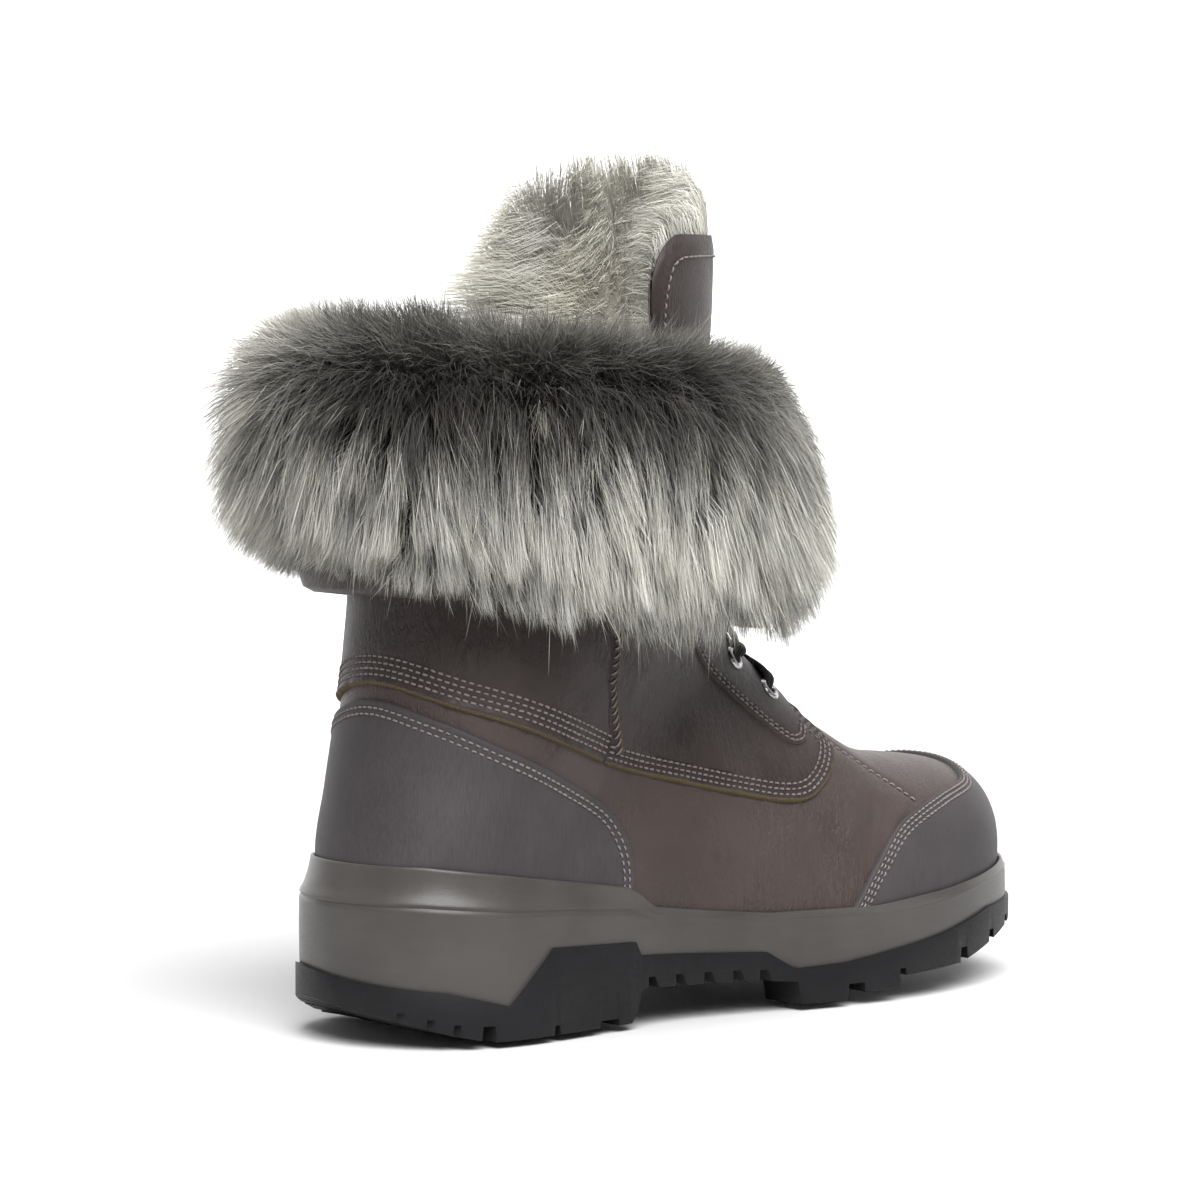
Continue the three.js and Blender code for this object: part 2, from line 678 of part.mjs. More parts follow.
const FINISH = {
  rubber: { color: 0x2b2b2d, roughness: 0.75, metalness: 0 },
  foam: { color: 0x5f5a55, roughness: 0.5, metalness: 0 },
  leather: { color: 0x4d4341, roughness: 0.6, metalness: 0 },
  coated: { color: 0x5c575c, roughness: 0.55, metalness: 0 },
  sheepskin: { color: 0x8d8a80, roughness: 1, metalness: 0 },
  lace: { color: 0x2c2a2a, roughness: 0.9, metalness: 0 },
  metal: { color: 0x8a8a8c, roughness: 0.3, metalness: 1 },
};

const boot = new THREE.Group();

function addPiece(name, geometry, finish) {
  const mesh = new THREE.Mesh(geometry, new THREE.MeshStandardMaterial(FINISH[finish]));
  mesh.name = name;
  boot.add(mesh);
  return mesh;
}

addPiece("outsole", geometryOf(outsole()), "rubber");
addPiece("midsole", geometryOf(midsole()), "foam");
addPiece("upper", geometryOf(upper()), "leather");
addPiece("heel_counter", geometryOf(heelCounter()), "coated");
addPiece("toe_cap", geometryOf(toeCap()), "coated");
addPiece("cuff", geometryOf(cuff()), "sheepskin");
addPiece("tongue", geometryOf(tongue()), "sheepskin");
addPiece("insole", geometryOf(insole()), "sheepskin");
addPiece("lace", geometryOf(lace()), "lace");
EYELET_ROWS.forEach((along, i) => {
  const lateral = addPiece(`eyelet_lateral_${i + 1}`, eyeletGeometry(), "metal");
  placeEyelet(lateral, along, 180 - EYELET_ANGLE);
  const medial = addPiece(`eyelet_medial_${i + 1}`, eyeletGeometry(), "metal");
  placeEyelet(medial, along, 180 + EYELET_ANGLE);
});

// Toe along -Y, with the origin on the ground under the middle of the whole boot.
boot.rotation.z = -Math.PI / 2;
boot.position.y = (SOLE_LENGTH + CUFF_BACK) / 2;

export default boot;
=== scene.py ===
"""Snow boot: leather upper, moulded sole, turned-down sheepskin cuff and fleece-lined tongue.

Everything is worked out in the boot's own frame, in millimetres: x from heel to toe, y towards the
inner (medial) side, z up. row() turns that into the part's frame, in metres. A place on the last is
(along, angle): how far up the last's sections, counted from the toe, and the angle in degrees round a
section from its low (sole or heel) point, 0, over the outer (lateral) side, 90, to its high (instep)
point, 180. Negative angles are on the medial side.
"""

import math

import bmesh
import bpy
import numpy as np
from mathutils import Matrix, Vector
from mathutils.kdtree import KDTree


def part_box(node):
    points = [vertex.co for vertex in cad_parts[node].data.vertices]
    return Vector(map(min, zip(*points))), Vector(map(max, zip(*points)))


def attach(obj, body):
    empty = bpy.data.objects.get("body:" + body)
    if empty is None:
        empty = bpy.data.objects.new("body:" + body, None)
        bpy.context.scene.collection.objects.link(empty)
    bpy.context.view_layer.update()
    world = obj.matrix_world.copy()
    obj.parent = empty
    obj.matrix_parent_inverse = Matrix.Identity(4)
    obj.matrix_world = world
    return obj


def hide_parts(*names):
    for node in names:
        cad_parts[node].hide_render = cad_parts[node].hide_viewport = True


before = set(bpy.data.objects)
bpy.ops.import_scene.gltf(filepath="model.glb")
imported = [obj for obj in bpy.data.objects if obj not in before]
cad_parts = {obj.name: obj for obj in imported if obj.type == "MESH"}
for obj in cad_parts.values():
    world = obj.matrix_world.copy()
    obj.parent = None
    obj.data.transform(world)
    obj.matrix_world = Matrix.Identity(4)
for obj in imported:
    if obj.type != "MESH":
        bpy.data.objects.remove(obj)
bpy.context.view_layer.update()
MM = 0.001
HEEL_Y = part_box("outsole")[1].y / MM  # row y of the heel's rearmost point
rng = np.random.default_rng(7)

# ---------------------------------------------------------------- sizes

VAMP = 0.0  # height of the vamp's face over the last
QUARTER = 1.25  # heights of the overlays' faces
EYESTAY = 2.1
COATED = 1.5
LINING = -5.5
SIDES = (("lateral", False), ("medial", True))

# Sections of the last, from the toe up to the collar: x and z of the low and the high point, half widths
# on the lateral and medial side, distance from the low point to the widest place, and how square the
# section is below and above it.
LAST = np.array([
    [286.5, 22, 286, 44, -7, 7, 16, 3, 2],
    [284.7, 21, 284, 52, 5, 19, 18, 3.2, 2],
    [279.5, 19, 279, 60.5, 15.5, 28.5, 21, 3.4, 2.1],
    [271, 16, 271, 67, 26.5, 36, 25, 3.6, 2.2],
    [259, 13, 260, 70.5, 36, 42, 29, 3.8, 2.3],
    [244, 10, 246, 72.5, 43, 45.5, 32, 4, 2.4],
    [226, 8, 228, 74.5, 47.5, 47, 34, 4, 2.3],
    [203, 8, 211, 79, 49, 46.5, 34, 4, 2.1],
    [172, 9, 198, 86.5, 48, 43.5, 34, 4, 2],
    [135, 12, 186, 95, 43.5, 40, 36, 4, 1.95],
    [95, 16, 175, 104.5, 40, 38, 40, 3.6, 1.95],
    [52, 19, 165, 114, 38.5, 37.5, 44, 3, 2],
    [18, 22, 157.5, 125, 37, 36.5, 48, 2.4, 2.1],
    [9, 46, 153, 138, 38.5, 38.5, 50, 2.2, 2.2],
    [12.5, 68, 151.5, 150, 41.5, 41.5, 54, 2.1, 2.2],
    [17, 90, 151.5, 161, 44, 44, 58, 2.1, 2.1],
    [20, 112, 152, 171, 45, 45, 61, 2.1, 2.1],
    [21.5, 136, 153, 180, 45, 45, 64, 2.1, 2.1],
    [21, 162, 154.5, 188, 45, 45, 66, 2.1, 2.1],
    [20, 190, 156, 200, 45.5, 45.5, 68, 2.1, 2.1],
    [19, 216, 159, 216, 46.5, 46.5, 70, 2.1, 2.1],
    [18, 240, 160, 240, 47, 47, 72, 2.1, 2.1],
    [17, 264, 161, 264, 47.5, 47.5, 74, 2.1, 2.1],
], float)
RIM_ALONG = 19.2  # the section that the collar's edge follows most nearly

# Side view (x, z) of the edges of the leather pieces, on the lateral side.
COUNTER_EDGE = [
    (90.5, 25), (91.3, 38), (91.3, 51.6), (87.3, 62.2), (80, 69.6), (61.9, 78.8), (38.5, 89.3), (23.7, 98.2),
]
COUNTER_FOOT = [(86, 24), (80, 25), (72, 26), (60, 27), (45, 28), (28, 31)]
COUNTER_BACK = (15.6, 12.7)  # along, at the back centre: top edge and foot
QUARTER_BACK_EDGE = [(80.5, 82.9), (69, 87.2), (55.1, 92.1), (31.2, 101)]
QUARTER_BACK_ALONG = 15.85
QUARTER_FRONT_EDGE = [
    (82, 82.4), (98, 78), (116.8, 73.7), (140.8, 68.4), (157.7, 65.2), (168.9, 65.4), (178.3, 70.1),
    (186, 76.5), (189.2, 80.5), (187.5, 83.6),
]
SEAM_X = 77  # the side seam between the two quarters
EYESTAY_EDGE = [
    (118, 128), (131, 112), (141, 102.4), (151.1, 94.3), (160.2, 86.9), (168.6, 81.2), (176, 81.4),
    (180.5, 85),
]
PLUG_SEAM = [(190, 83.2), (193.6, 79.6), (200.7, 74.1), (209.5, 67.4), (217, 61.1)]
# Angle round the last and how far along it the toe cap's back edge lies.
TOE_CAP_EDGE = [
    (20, 8.2), (45, 8.1), (73, 7.88), (90.2, 7.72), (104.5, 7.41), (113.5, 6.92), (125.2, 5.9), (135.8, 4.75),
    (150, 4.15), (165, 3.87), (180, 3.8),
]
THROAT_HALF = 11.5  # half the throat's width

# ---------------------------------------------------------------- lines and lattices


def unit(v):
    return v / np.maximum(np.linalg.norm(v, axis=-1, keepdims=True), 1e-9)


def grid(first, second):
    """A lattice of pairs; the first value changes by rows, the second by columns."""
    return np.stack(np.meshgrid(first, second, indexing="ij"), -1)


def sample(at, keys, values):
    """Values, one row for each key, at places between the keys."""
    return np.stack([np.interp(at, keys, column) for column in values.T], -1)


def run_along(line):
    """Distance from a line's start to each of its points."""
    return np.concatenate([[0], np.cumsum(np.linalg.norm(np.diff(line, axis=0), axis=1))])


def evenly(line, count, points=None):
    """The same line with its points spread evenly; points are where they lie if the line holds places."""
    line = np.asarray(line, float)
    run = run_along(line if points is None else points)
    return sample(np.linspace(0, run[-1], count), run, line)


def spline(a, b, c, d, t):
    """Smooth curve through four neighbouring values."""
    return 0.5 * (2 * b + (c - a) * t + (2 * a - 5 * b + 4 * c - d) * t**2 + (3 * b - a - 3 * c + d) * t**3)


def curve(points, count, closed=False):
    """count points spread evenly along a smooth curve through the given ones."""
    p = np.asarray(points, float)
    if closed:
        p = np.vstack([p[-1], p, p[:2]])
    else:
        p = np.vstack([2 * p[0] - p[1], p, 2 * p[-1] - p[-2]])
    t = np.linspace(0, 1, 12, endpoint=False)[:, None]
    fine = np.vstack([spline(*p[i:i + 4], t) for i in range(len(p) - 3)] + [p[-2:-1]])
    return evenly(fine, count)


def rings(centre, a, b, turn):
    """Points round centres: one half axis goes with the cosine of the turn, the other with its sine."""
    centre, a, b = centre[..., None, :], a[..., None, :], b[..., None, :]
    return centre + a * np.cos(turn)[:, None] + b * np.sin(turn)[:, None]


def circle(count):
    return np.linspace(0, 2 * np.pi, count, endpoint=False)


def fade(value, start, end):
    """0 up to start and 1 from end, evenly between them; start may be the higher one."""
    return np.clip((value - start) / (end - start), 0, 1)


def bell(distance, width):
    return np.exp(-((distance / width) ** 2))


# ---------------------------------------------------------------- the last


def row(points):
    """Boot frame, mm, to the part's frame, m."""
    p = np.asarray(points, float)
    return np.stack([p[..., 1], HEEL_Y - p[..., 0], p[..., 2]], -1) * MM


def pad_last():
    """The last's sections with one more at each end, for a smooth curve through all of them."""
    before = LAST[1].copy()
    before[4:6] = -LAST[1][[5, 4]]
    return np.vstack([before, LAST, 2 * LAST[-1] - LAST[-2]])


PADDED = pad_last()


def last_point(place):
    """Points on the last for places."""
    place = np.asarray(place, float)
    along, turn = place[..., 0], np.radians(place[..., 1])
    u = np.abs(along)
    i = np.clip(np.floor(u).astype(int), 0, len(LAST) - 2)
    s = spline(*(PADDED[i + k] for k in range(4)), (u - i)[..., None])
    low_x, low_z, high_x, high_z, lateral, medial, widest, low_power, high_power = np.moveaxis(s, -1, 0)
    # below the widest place the turn is eased, so that squarer sections keep evenly spread points
    below = np.cos(turn) > 0
    eased = np.abs(np.cos(turn)) ** (low_power / 2)
    up = np.where(below, -eased, -np.cos(turn))
    side = np.where(below, np.sign(np.sin(turn)) * np.sqrt(np.maximum(1 - eased**2, 0)), np.sin(turn))
    power = 2 / np.where(below, low_power, high_power)
    dx, dz = high_x - low_x, high_z - low_z
    length = np.hypot(dx, dz)
    rise = np.abs(up) ** power
    distance = np.where(up < 0, widest * (1 - rise), widest + (length - widest) * rise)
    half = (medial + lateral) / 2 * np.where(along < 0, -1, 1)
    across = half * np.sign(side) * np.abs(side) ** power
    x, y, z = low_x + dx * distance / length, (medial - lateral) / 2 - across, low_z + dz * distance / length
    return np.stack([x, y, z], -1)


def slopes(place, reach=2.3):
    """How a point moves per section along and per degree round."""
    along, turn = np.array([0.04, 0]), np.array([0, reach])
    by_along = (last_point(place + along) - last_point(place - along)) / 0.08
    by_turn = (last_point(place + turn) - last_point(place - turn)) / (2 * reach)
    return by_along, by_turn


def last_normal(place):
    place = np.array(place, float)
    tip = np.abs(place[..., 0]) < 0.1
    place[..., 0] = np.where(tip, 0.1, place[..., 0])
    by_along, by_turn = slopes(place)
    normal = unit(np.cross(by_turn, by_along))
    other = place.copy()
    other[..., 1] = -other[..., 1]
    by_along, by_turn = slopes(other)
    both = unit(normal + unit(np.cross(by_turn, by_along)))
    return np.where(tip[..., None], both, normal)


def offset(place, height):
    """A point at a height over the last."""
    return last_point(place) + last_normal(place) * np.asarray(height, float)[..., None]


def walk(place, direction, distance, steps=3):
    """Moves places over the last by a distance in mm along a direction."""
    place = np.array(place, float)
    for _ in range(steps):
        a, b = slopes(place, 0.3)
        v = direction * np.asarray(distance, float)[..., None] / steps
        aa, ab, bb = (a * a).sum(-1), (a * b).sum(-1), (b * b).sum(-1)
        av, bv = (a * v).sum(-1), (b * v).sum(-1)
        det = np.maximum(aa * bb - ab * ab, 1e-6)
        place[..., 0] += (bb * av - ab * bv) / det
        place[..., 1] += (aa * bv - ab * av) / det
    return place


SEARCH_PLACES = grid(np.linspace(0.4, 21.9, 431), np.linspace(0, 180, 181)).reshape(-1, 2)
SEARCH_VIEW = last_point(SEARCH_PLACES)[:, [0, 2]]


def locate(side_view):
    """Places on the lateral half whose side view is these (x, z) points."""
    wanted = np.asarray(side_view, float)
    place = SEARCH_PLACES[[np.argmin(((SEARCH_VIEW - w) ** 2).sum(1)) for w in wanted]]
    for _ in range(5):
        a, b = slopes(place, 0.3)
        miss = wanted - last_point(place)[:, [0, 2]]
        det = a[:, 0] * b[:, 2] - a[:, 2] * b[:, 0]
        det = np.where(np.abs(det) < 1e-3, 1e-3, det)
        place[:, 0] += np.clip((miss[:, 0] * b[:, 2] - miss[:, 1] * b[:, 0]) / det, -0.3, 0.3)
        place[:, 1] += np.clip((a[:, 0] * miss[:, 1] - a[:, 2] * miss[:, 0]) / det, -8, 8)
    return place


def mirrored(place):
    return np.asarray(place, float) * [1, -1]


def evenly_placed(places, count):
    """The same line of places, with its points spread evenly over the last."""
    return evenly(places, count, last_point(places))


def angle_at(along, angles, axis, wanted):
    """The angle round each section at which its points pass a value on an axis (0 is x, 1 is y)."""
    values = last_point(grid(along, angles))[..., axis]
    return np.array([np.interp(w, v, angles) for w, v in zip(wanted, values)])


def throat_angle(along):
    """The angle round sections at which the throat's lateral edge lies."""
    along = np.atleast_1d(along)
    return angle_at(along, np.linspace(140, 179, 79), 1, np.full(len(along), -THROAT_HALF))


def seam_angle(along):
    """The angle round sections at which the side seam lies; below section 14 it bends forward."""
    along = np.atleast_1d(along)
    return angle_at(along, np.linspace(50, 125, 151), 0, SEAM_X + 5 * np.maximum(0, 14 - along))


# ---------------------------------------------------------------- meshes


def piece(name, points, faces, material, slot, face_material=None, smooth=True):
    """A mesh object from points in the boot's frame. Faces all have the same number of corners."""
    mesh = bpy.data.meshes.new(name)
    co = row(points).reshape(-1, 3)
    faces = np.asarray(faces, np.int32)
    mesh.vertices.add(len(co))
    mesh.vertices.foreach_set("co", co.astype(np.float32).ravel())
    mesh.loops.add(faces.size)
    mesh.loops.foreach_set("vertex_index", faces.ravel())
    mesh.polygons.add(len(faces))
    mesh.polygons.foreach_set("loop_start", np.arange(0, faces.size, faces.shape[1], dtype=np.int32))
    mesh.polygons.foreach_set("use_smooth", np.full(len(faces), smooth))
    for m in material if isinstance(material, (list, tuple)) else [material]:
        mesh.materials.append(m)
    if face_material is not None:
        mesh.polygons.foreach_set("material_index", np.asarray(face_material, np.int32))
    mesh.update(calc_edges=True)
    obj = bpy.data.objects.new(name, mesh)
    bpy.context.scene.collection.objects.link(obj)
    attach(obj, "root")
    return obj


def lattice_faces(rows, columns, closed=False):
    """Quads of a lattice of points; closed joins its last column to its first."""
    r = np.arange(rows - 1)[:, None] * columns
    c = np.arange(columns if closed else columns - 1)[None, :]
    n = (c + 1) % columns
    return np.stack([r + c, r + n, r + columns + n, r + columns + c], -1).reshape(-1, 4)


def sheet(name, points, material, slot, middle=None, closed=False, **options):
    """A piece from a lattice of points; most of its faces look away from the middle, if that is given."""
    faces = lattice_faces(*points.shape[:2], closed)
    if middle is not None:
        a, b, c = (points.reshape(-1, 3)[faces[:, k]] for k in range(3))
        if (np.cross(b - a, c - a) * ((a + c) / 2 - middle)).sum() <= 0:
            faces = faces[:, ::-1]
    return piece(name, points, faces, material, slot, **options)


def mend(mesh, gap=0.0):
    """Joins a mesh's points that lie within a gap in mm, or with no gap turns its faces outward."""
    bm = bmesh.new()
    bm.from_mesh(mesh)
    if gap:
        bmesh.ops.remove_doubles(bm, verts=bm.verts, dist=gap * MM)
    else:
        bmesh.ops.recalc_face_normals(bm, faces=bm.faces)
    bm.to_mesh(mesh)
    bm.free()


# ---------------------------------------------------------------- materials


class Finish:
    """A material's node tree, built with short calls."""

    def __init__(self, name):
        self.material = bpy.data.materials.new(name)
        self.material.use_nodes = True
        self.tree = self.material.node_tree
        self.shader = self.tree.nodes["Principled BSDF"]
        self.place = self.add("TexCoord").outputs["Object"]

    def add(self, kind, **values):
        node = self.tree.nodes.new("ShaderNode" + kind)
        for key, value in values.items():
            if key in node.inputs:
                self.feed(node.inputs[key], value)
            else:
                setattr(node, key, value)
        return node

    def feed(self, socket, value):
        if isinstance(value, bpy.types.NodeSocket):
            self.tree.links.new(value, socket)
        else:
            socket.default_value = value

    def set(self, **values):
        for key, value in values.items():
            self.feed(self.shader.inputs[key.replace("_", " ")], value)

    def stretched(self, scale):
        return self.add("Mapping", Vector=self.place, Scale=scale).outputs["Vector"]

    def noise(self, scale, detail=2.0, roughness=0.5, vector=None, distortion=0.0):
        return self.add(
            "TexNoise", Vector=vector or self.place, Scale=scale, Detail=detail, Roughness=roughness,
            Distortion=distortion,
        ).outputs["Fac"]

    def streaks(self, *scale):
        """Noise drawn out along the axes with the smaller scales."""
        return self.noise(1, vector=self.stretched(scale))

    def math(self, operation, *values):
        node = self.add("Math", operation=operation)
        for socket, value in zip(node.inputs, values):
            self.feed(socket, value)
        return node.outputs[0]

    def sum(self, a, share_a, b, share_b):
        """Two values added by their shares."""
        return self.math("MULTIPLY_ADD", a, share_a, self.math("MULTIPLY", b, share_b))

    def ramp(self, value, *stops):
        node = self.add("ValToRGB", Fac=value)
        elements = node.color_ramp.elements
        for position, _ in stops[2:]:
            elements.new(position)
        for element, (position, _) in zip(elements, stops):
            element.position = position
        for element, (_, color) in zip(elements, stops):
            element.color = (*color, 1) if isinstance(color, tuple) else (color, color, color, 1)
        return node.outputs["Color"]

    def mix(self, factor, a, b):
        node = self.add("MixRGB", Fac=factor)
        for key, value in (("Color1", a), ("Color2", b)):
            self.feed(node.inputs[key], (*value, 1) if isinstance(value, tuple) else value)
        return node.outputs["Color"]

    def surface(self, color, roughness, shine, height, strength, depth):
        """Sets what most materials set: the height's strength is a share and its depth is in mm."""
        bump = self.add("Bump", Height=height, Strength=strength, Distance=depth * MM)
        self.set(Base_Color=color, Roughness=roughness, Specular_IOR_Level=shine)
        self.set(Normal=bump.outputs["Normal"])
        return self.material


def srgb(r, g, b):
    def channel(v):
        v /= 255
        return v / 12.92 if v <= 0.04045 else ((v + 0.055) / 1.055) ** 2.4

    return channel(r), channel(g), channel(b)


def leather(name, dark, light, cloud_scale, wrinkling):
    """Smooth grained leather with fine ripples and, between them, a flat pebble; the ripples' grooves are
    painted darker, as painted shade.
    """
    f = Finish(name)
    cloud = f.noise(cloud_scale, 3, 0.55)
    ripple = f.noise(1, 3, 0.55, f.stretched((420, 420, 120)), 0.8)
    line = f.ramp(f.math("ABSOLUTE", f.math("SUBTRACT", ripple, 0.5)), (0.0, 0.0), (0.07, 1.0))
    where = f.ramp(f.noise(38), (0.42, 0.0), (0.62, 1.0))
    crease = f.math("SUBTRACT", 1.0, f.math("MULTIPLY", where, f.math("SUBTRACT", 1.0, line)))
    pebble = f.noise(900)
    color = f.ramp(f.sum(pebble, 0.12, cloud, 0.88), (0.34, dark), (0.66, light))
    # the crease lines are painted darker towards the dark tone: painted shade in the grooves that the bump
    # cuts along them
    crease_shaded = f.mix(f.math("MULTIPLY_ADD", crease, 0.3, 0.7), tuple(0.8 * c for c in dark), color)
    height = f.sum(pebble, 0.3, crease, 0.7 * wrinkling)
    return f.surface(crease_shaded, f.ramp(pebble, (0.3, 0.43), (0.7, 0.54)), 0.25, height, 0.55, 0.7)


def coated_leather():
    f = Finish("coated_leather")
    warp, weft = f.streaks(1900, 1900, 150), f.streaks(300, 300, 2200)
    tone = f.sum(f.noise(30, 3, 0.55), 0.6, warp, 0.4)
    color = f.ramp(tone, (0.36, srgb(59, 56, 57)), (0.64, srgb(71, 67, 69)))
    return f.surface(color, f.ramp(warp, (0.3, 0.5), (0.7, 0.6)), 0.16, f.sum(warp, 1, weft, 0.7), 0.22, 0.25)


def moulded(name, dark, light, roughness, depth, pit, shine):
    f = Finish(name)
    fine, line = f.noise(pit, 3, 0.6), f.streaks(90, 90, 500)
    color = f.ramp(f.sum(f.noise(26, 3, 0.55), 0.8, line, 0.2), (0.36, dark), (0.64, light))
    rough = f.ramp(fine, (0.3, roughness - 0.06), (0.7, roughness + 0.08))
    return f.surface(color, rough, shine, f.sum(fine, 1, line, 0.4), 0.3, depth)


def thread(name, color):
    f = Finish(name)
    twist = f.noise(5200, 2, 0.6)
    tone = f.ramp(twist, (0.25, tuple(0.55 * c for c in color)), (0.65, color))
    return f.surface(tone, 0.8, 0.25, twist, 0.5, 0.1)


def raw_edge():
    f = Finish("raw_edge")
    fibre = f.noise(2600, 3, 0.65)
    color = f.ramp(fibre, (0.3, srgb(56, 48, 36)), (0.7, srgb(100, 88, 66)))
    return f.surface(color, 0.9, 0.2, fibre, 0.6, 0.2)


def woven(name, dark, light, scale):
    f = Finish(name)
    wave = f.add("TexWave", Vector=f.place, Scale=scale, Distortion=0.4, bands_direction="DIAGONAL")
    weave = wave.outputs["Fac"]
    color = f.ramp(weave, (0.2, dark), (0.8, light))
    return f.surface(color, 0.85, 0.25, f.sum(weave, 1, f.noise(3000, 2, 0.6), 0.5), 0.6, 0.2)


def metal():
    f = Finish("eyelet_metal")
    wear = f.noise(900, 3, 0.6)
    f.set(Metallic=1.0)
    color = f.ramp(wear, (0.3, srgb(120, 118, 120)), (0.7, srgb(205, 203, 205)))
    return f.surface(color, f.ramp(wear, (0.3, 0.2), (0.7, 0.34)), 0.5, wear, 0.1, 0.05)


def fleece(name, dark, light, scale):
    f = Finish(name)
    curl = f.noise(scale, 4, 0.65, distortion=1.2)
    tone = f.sum(curl, 0.6, f.noise(scale / 6, 3, 0.6), 0.4)
    return f.surface(f.ramp(tone, (0.34, dark), (0.62, light)), 0.95, 0.15, curl, 0.8, 2.5)


FUR_MAP = "OFBake"


def fur_tones(root, dark, light, tip):
    """Stops of a hair's colour; the ramp takes its two end stops first."""
    return (0.0, srgb(*root)), (1.0, srgb(*tip)), (0.3, srgb(*dark)), (0.65, srgb(*light))


def fur(name, cool, warm):
    """Hair colour by its map: tone (dark root to pale tip) across, warmth up."""
    f = Finish(name)
    spot = f.add("SeparateXYZ", Vector=f.add("UVMap", uv_map=FUR_MAP).outputs["UV"])
    tone, warmth = spot.outputs["X"], f.ramp(spot.outputs["Y"], (0.25, 0.0), (0.75, 1.0))
    color = f.mix(warmth, f.ramp(tone, *cool), f.ramp(tone, *warm))
    f.set(Base_Color=color, Roughness=0.62, Specular_IOR_Level=0.3)
    return f.material


MAT = {
    # boot_leather_shaded_copy and vamp_leather_lit_copy are one leather in two copies: the vamp's is painted
    # lighter, as painted light where the vamp faces up to the key light, and the boot's darker, as painted
    # shade on the quarters under the cuff's fur
    "leather": leather("boot_leather_shaded_copy", srgb(48, 41, 39), srgb(61, 53, 51), 45, 1.2),
    "vamp": leather("vamp_leather_lit_copy", srgb(63, 54, 52), srgb(74, 64, 62), 22, 0.8),
    "coated": coated_leather(),
    "midsole": moulded("midsole_foam", srgb(62, 59, 57), srgb(71, 68, 66), 0.34, 0.12, 1500, 0.36),
    "outsole": moulded("outsole_rubber", srgb(19, 19, 21), srgb(27, 27, 29), 0.5, 0.2, 1100, 0.2),
    "stitch": thread("stitch_thread", srgb(138, 130, 128)),
    "raw": raw_edge(),
    "lace": woven("lace_cord", srgb(20, 19, 20), srgb(52, 49, 50), 420),
    "metal": metal(),
    "fleece": fleece("lining_fleece", srgb(96, 92, 86), srgb(176, 172, 160), 260),
    "undercoat": fleece("undercoat", srgb(56, 53, 51), srgb(102, 98, 93), 420),
    "fur": fur(
        "sheepskin_fur",
        fur_tones((44, 42, 42), (92, 88, 86), (170, 168, 162), (232, 231, 225)),
        fur_tones((50, 45, 43), (101, 94, 88), (180, 175, 162), (234, 231, 217)),
    ),
}

# ---------------------------------------------------------------- stitching

STITCHES = []  # the points of all stitches so far
# Rings of one stitch: place as a share of its length, height, and thickness as a share of its radius.
STITCH_RINGS = np.array([
    (-0.5, -0.3, 0.6), (-0.34, 0.16, 0.95), (0, 0.3, 1), (0.34, 0.16, 0.95), (0.5, -0.3, 0.6),
])
STITCH_SIDES = 5


def stitch(path, normal, pitch=2.5, length=1.75, radius=0.36, slant=0.0):
    """Stitches along a line on the surface: how far apart, how long, and how far turned across it."""
    run = run_along(path)
    count = int(run[-1] // pitch)
    at = (np.arange(count) + 0.5) * run[-1] / count
    middle, n = sample(at, run, path), unit(sample(at, run, normal))
    t = unit(sample(at + 0.6, run, path) - sample(at - 0.6, run, path))
    b = np.cross(n, t)
    tilt = slant + rng.normal(0, 0.06, count)[:, None]
    t, b = t * np.cos(tilt) + b * np.sin(tilt), b * np.cos(tilt) - t * np.sin(tilt)
    size = rng.normal(1, 0.07, count)[:, None, None]
    middle, n, t, b = (v[:, None] for v in (middle, n, t, b))
    share, height, thick = STITCH_RINGS.T[..., None]
    thick = thick * radius * size
    middle = middle + t * share * length * size + n * height * 1.1
    STITCHES.append(rings(middle, n * 0.8 * thick, b * thick, circle(STITCH_SIDES)).reshape(count, -1, 3))


def make_stitching():
    points = np.concatenate(STITCHES)
    one = lattice_faces(len(STITCH_RINGS), STITCH_SIDES, closed=True)
    each = np.arange(len(points))[:, None, None] * points.shape[1]
    piece("stitching", points, (one + each).reshape(-1, 4), MAT["stitch"], "leather")


# ---------------------------------------------------------------- leather panels

# Profiles of a cut edge: distance from it, share of the panel's height, and 1 where the raw edge shows.
RAW_PROFILE = [(-1.1, -0.5, 1), (-1.05, 0.3, 1), (-0.6, 0.8, 1), (0.0, 1.0, 0)]
FOLDED_PROFILE = [(-0.15, -0.5, 0), (0.0, 0.5, 0), (0.25, 0.86, 0), (0.6, 1.0, 0)]
# Distances from the edge at which a panel has rows of its own, close enough for its stitch lines.
NEAR_EDGE = [0.5, 1.0, 1.6, 2.2, 2.8, 3.4, 4.0, 4.6, 5.2, 5.8]
WIDE_EDGE = NEAR_EDGE + [6.4, 7.0, 7.6, 8.2, 8.8]
REACH = 0.8  # rows near the edge go no further than this share of the way to the far line
STITCH_DIP, STITCH_SINK = 0.25, 0.12  # how deep a stitch line and its thread lie in the leather
END_ROUNDING = 1.1  # radius of a cut end
BEYOND = 99  # stands for any place further in than the rows near the edge


def frame_along(places, towards):
    """Points, normals and the inward direction along an edge; towards are places on the inner side."""
    p, n = last_point(places), last_normal(places)
    inward = np.cross(n, unit(np.gradient(p, axis=0)))
    return p, n, inward * np.sign(((last_point(towards) - p) * inward).sum())


def inset_line(edge, inward, distance, room):
    """The edge moved inward, and evened out so that it doesn't cross itself at corners."""
    line = walk(edge, inward, np.minimum(distance, room * REACH))
    for _ in range(int(max(distance, 0) * 4)):
        p = last_point(line)
        pull = np.zeros_like(p)
        pull[1:-1] = (p[:-2] + p[2:]) / 4 - p[1:-1] / 2
        line = walk(line, pull, 1, steps=1)
    return line


def relaxed(places):
    """The places inside a lattice spread evenly between its borders."""
    for _ in range(160):
        across, down = places[1:-1, :-2] + places[1:-1, 2:], places[:-2, 1:-1] + places[2:, 1:-1]
        places[1:-1, 1:-1] = (down + across) / 4
    return places


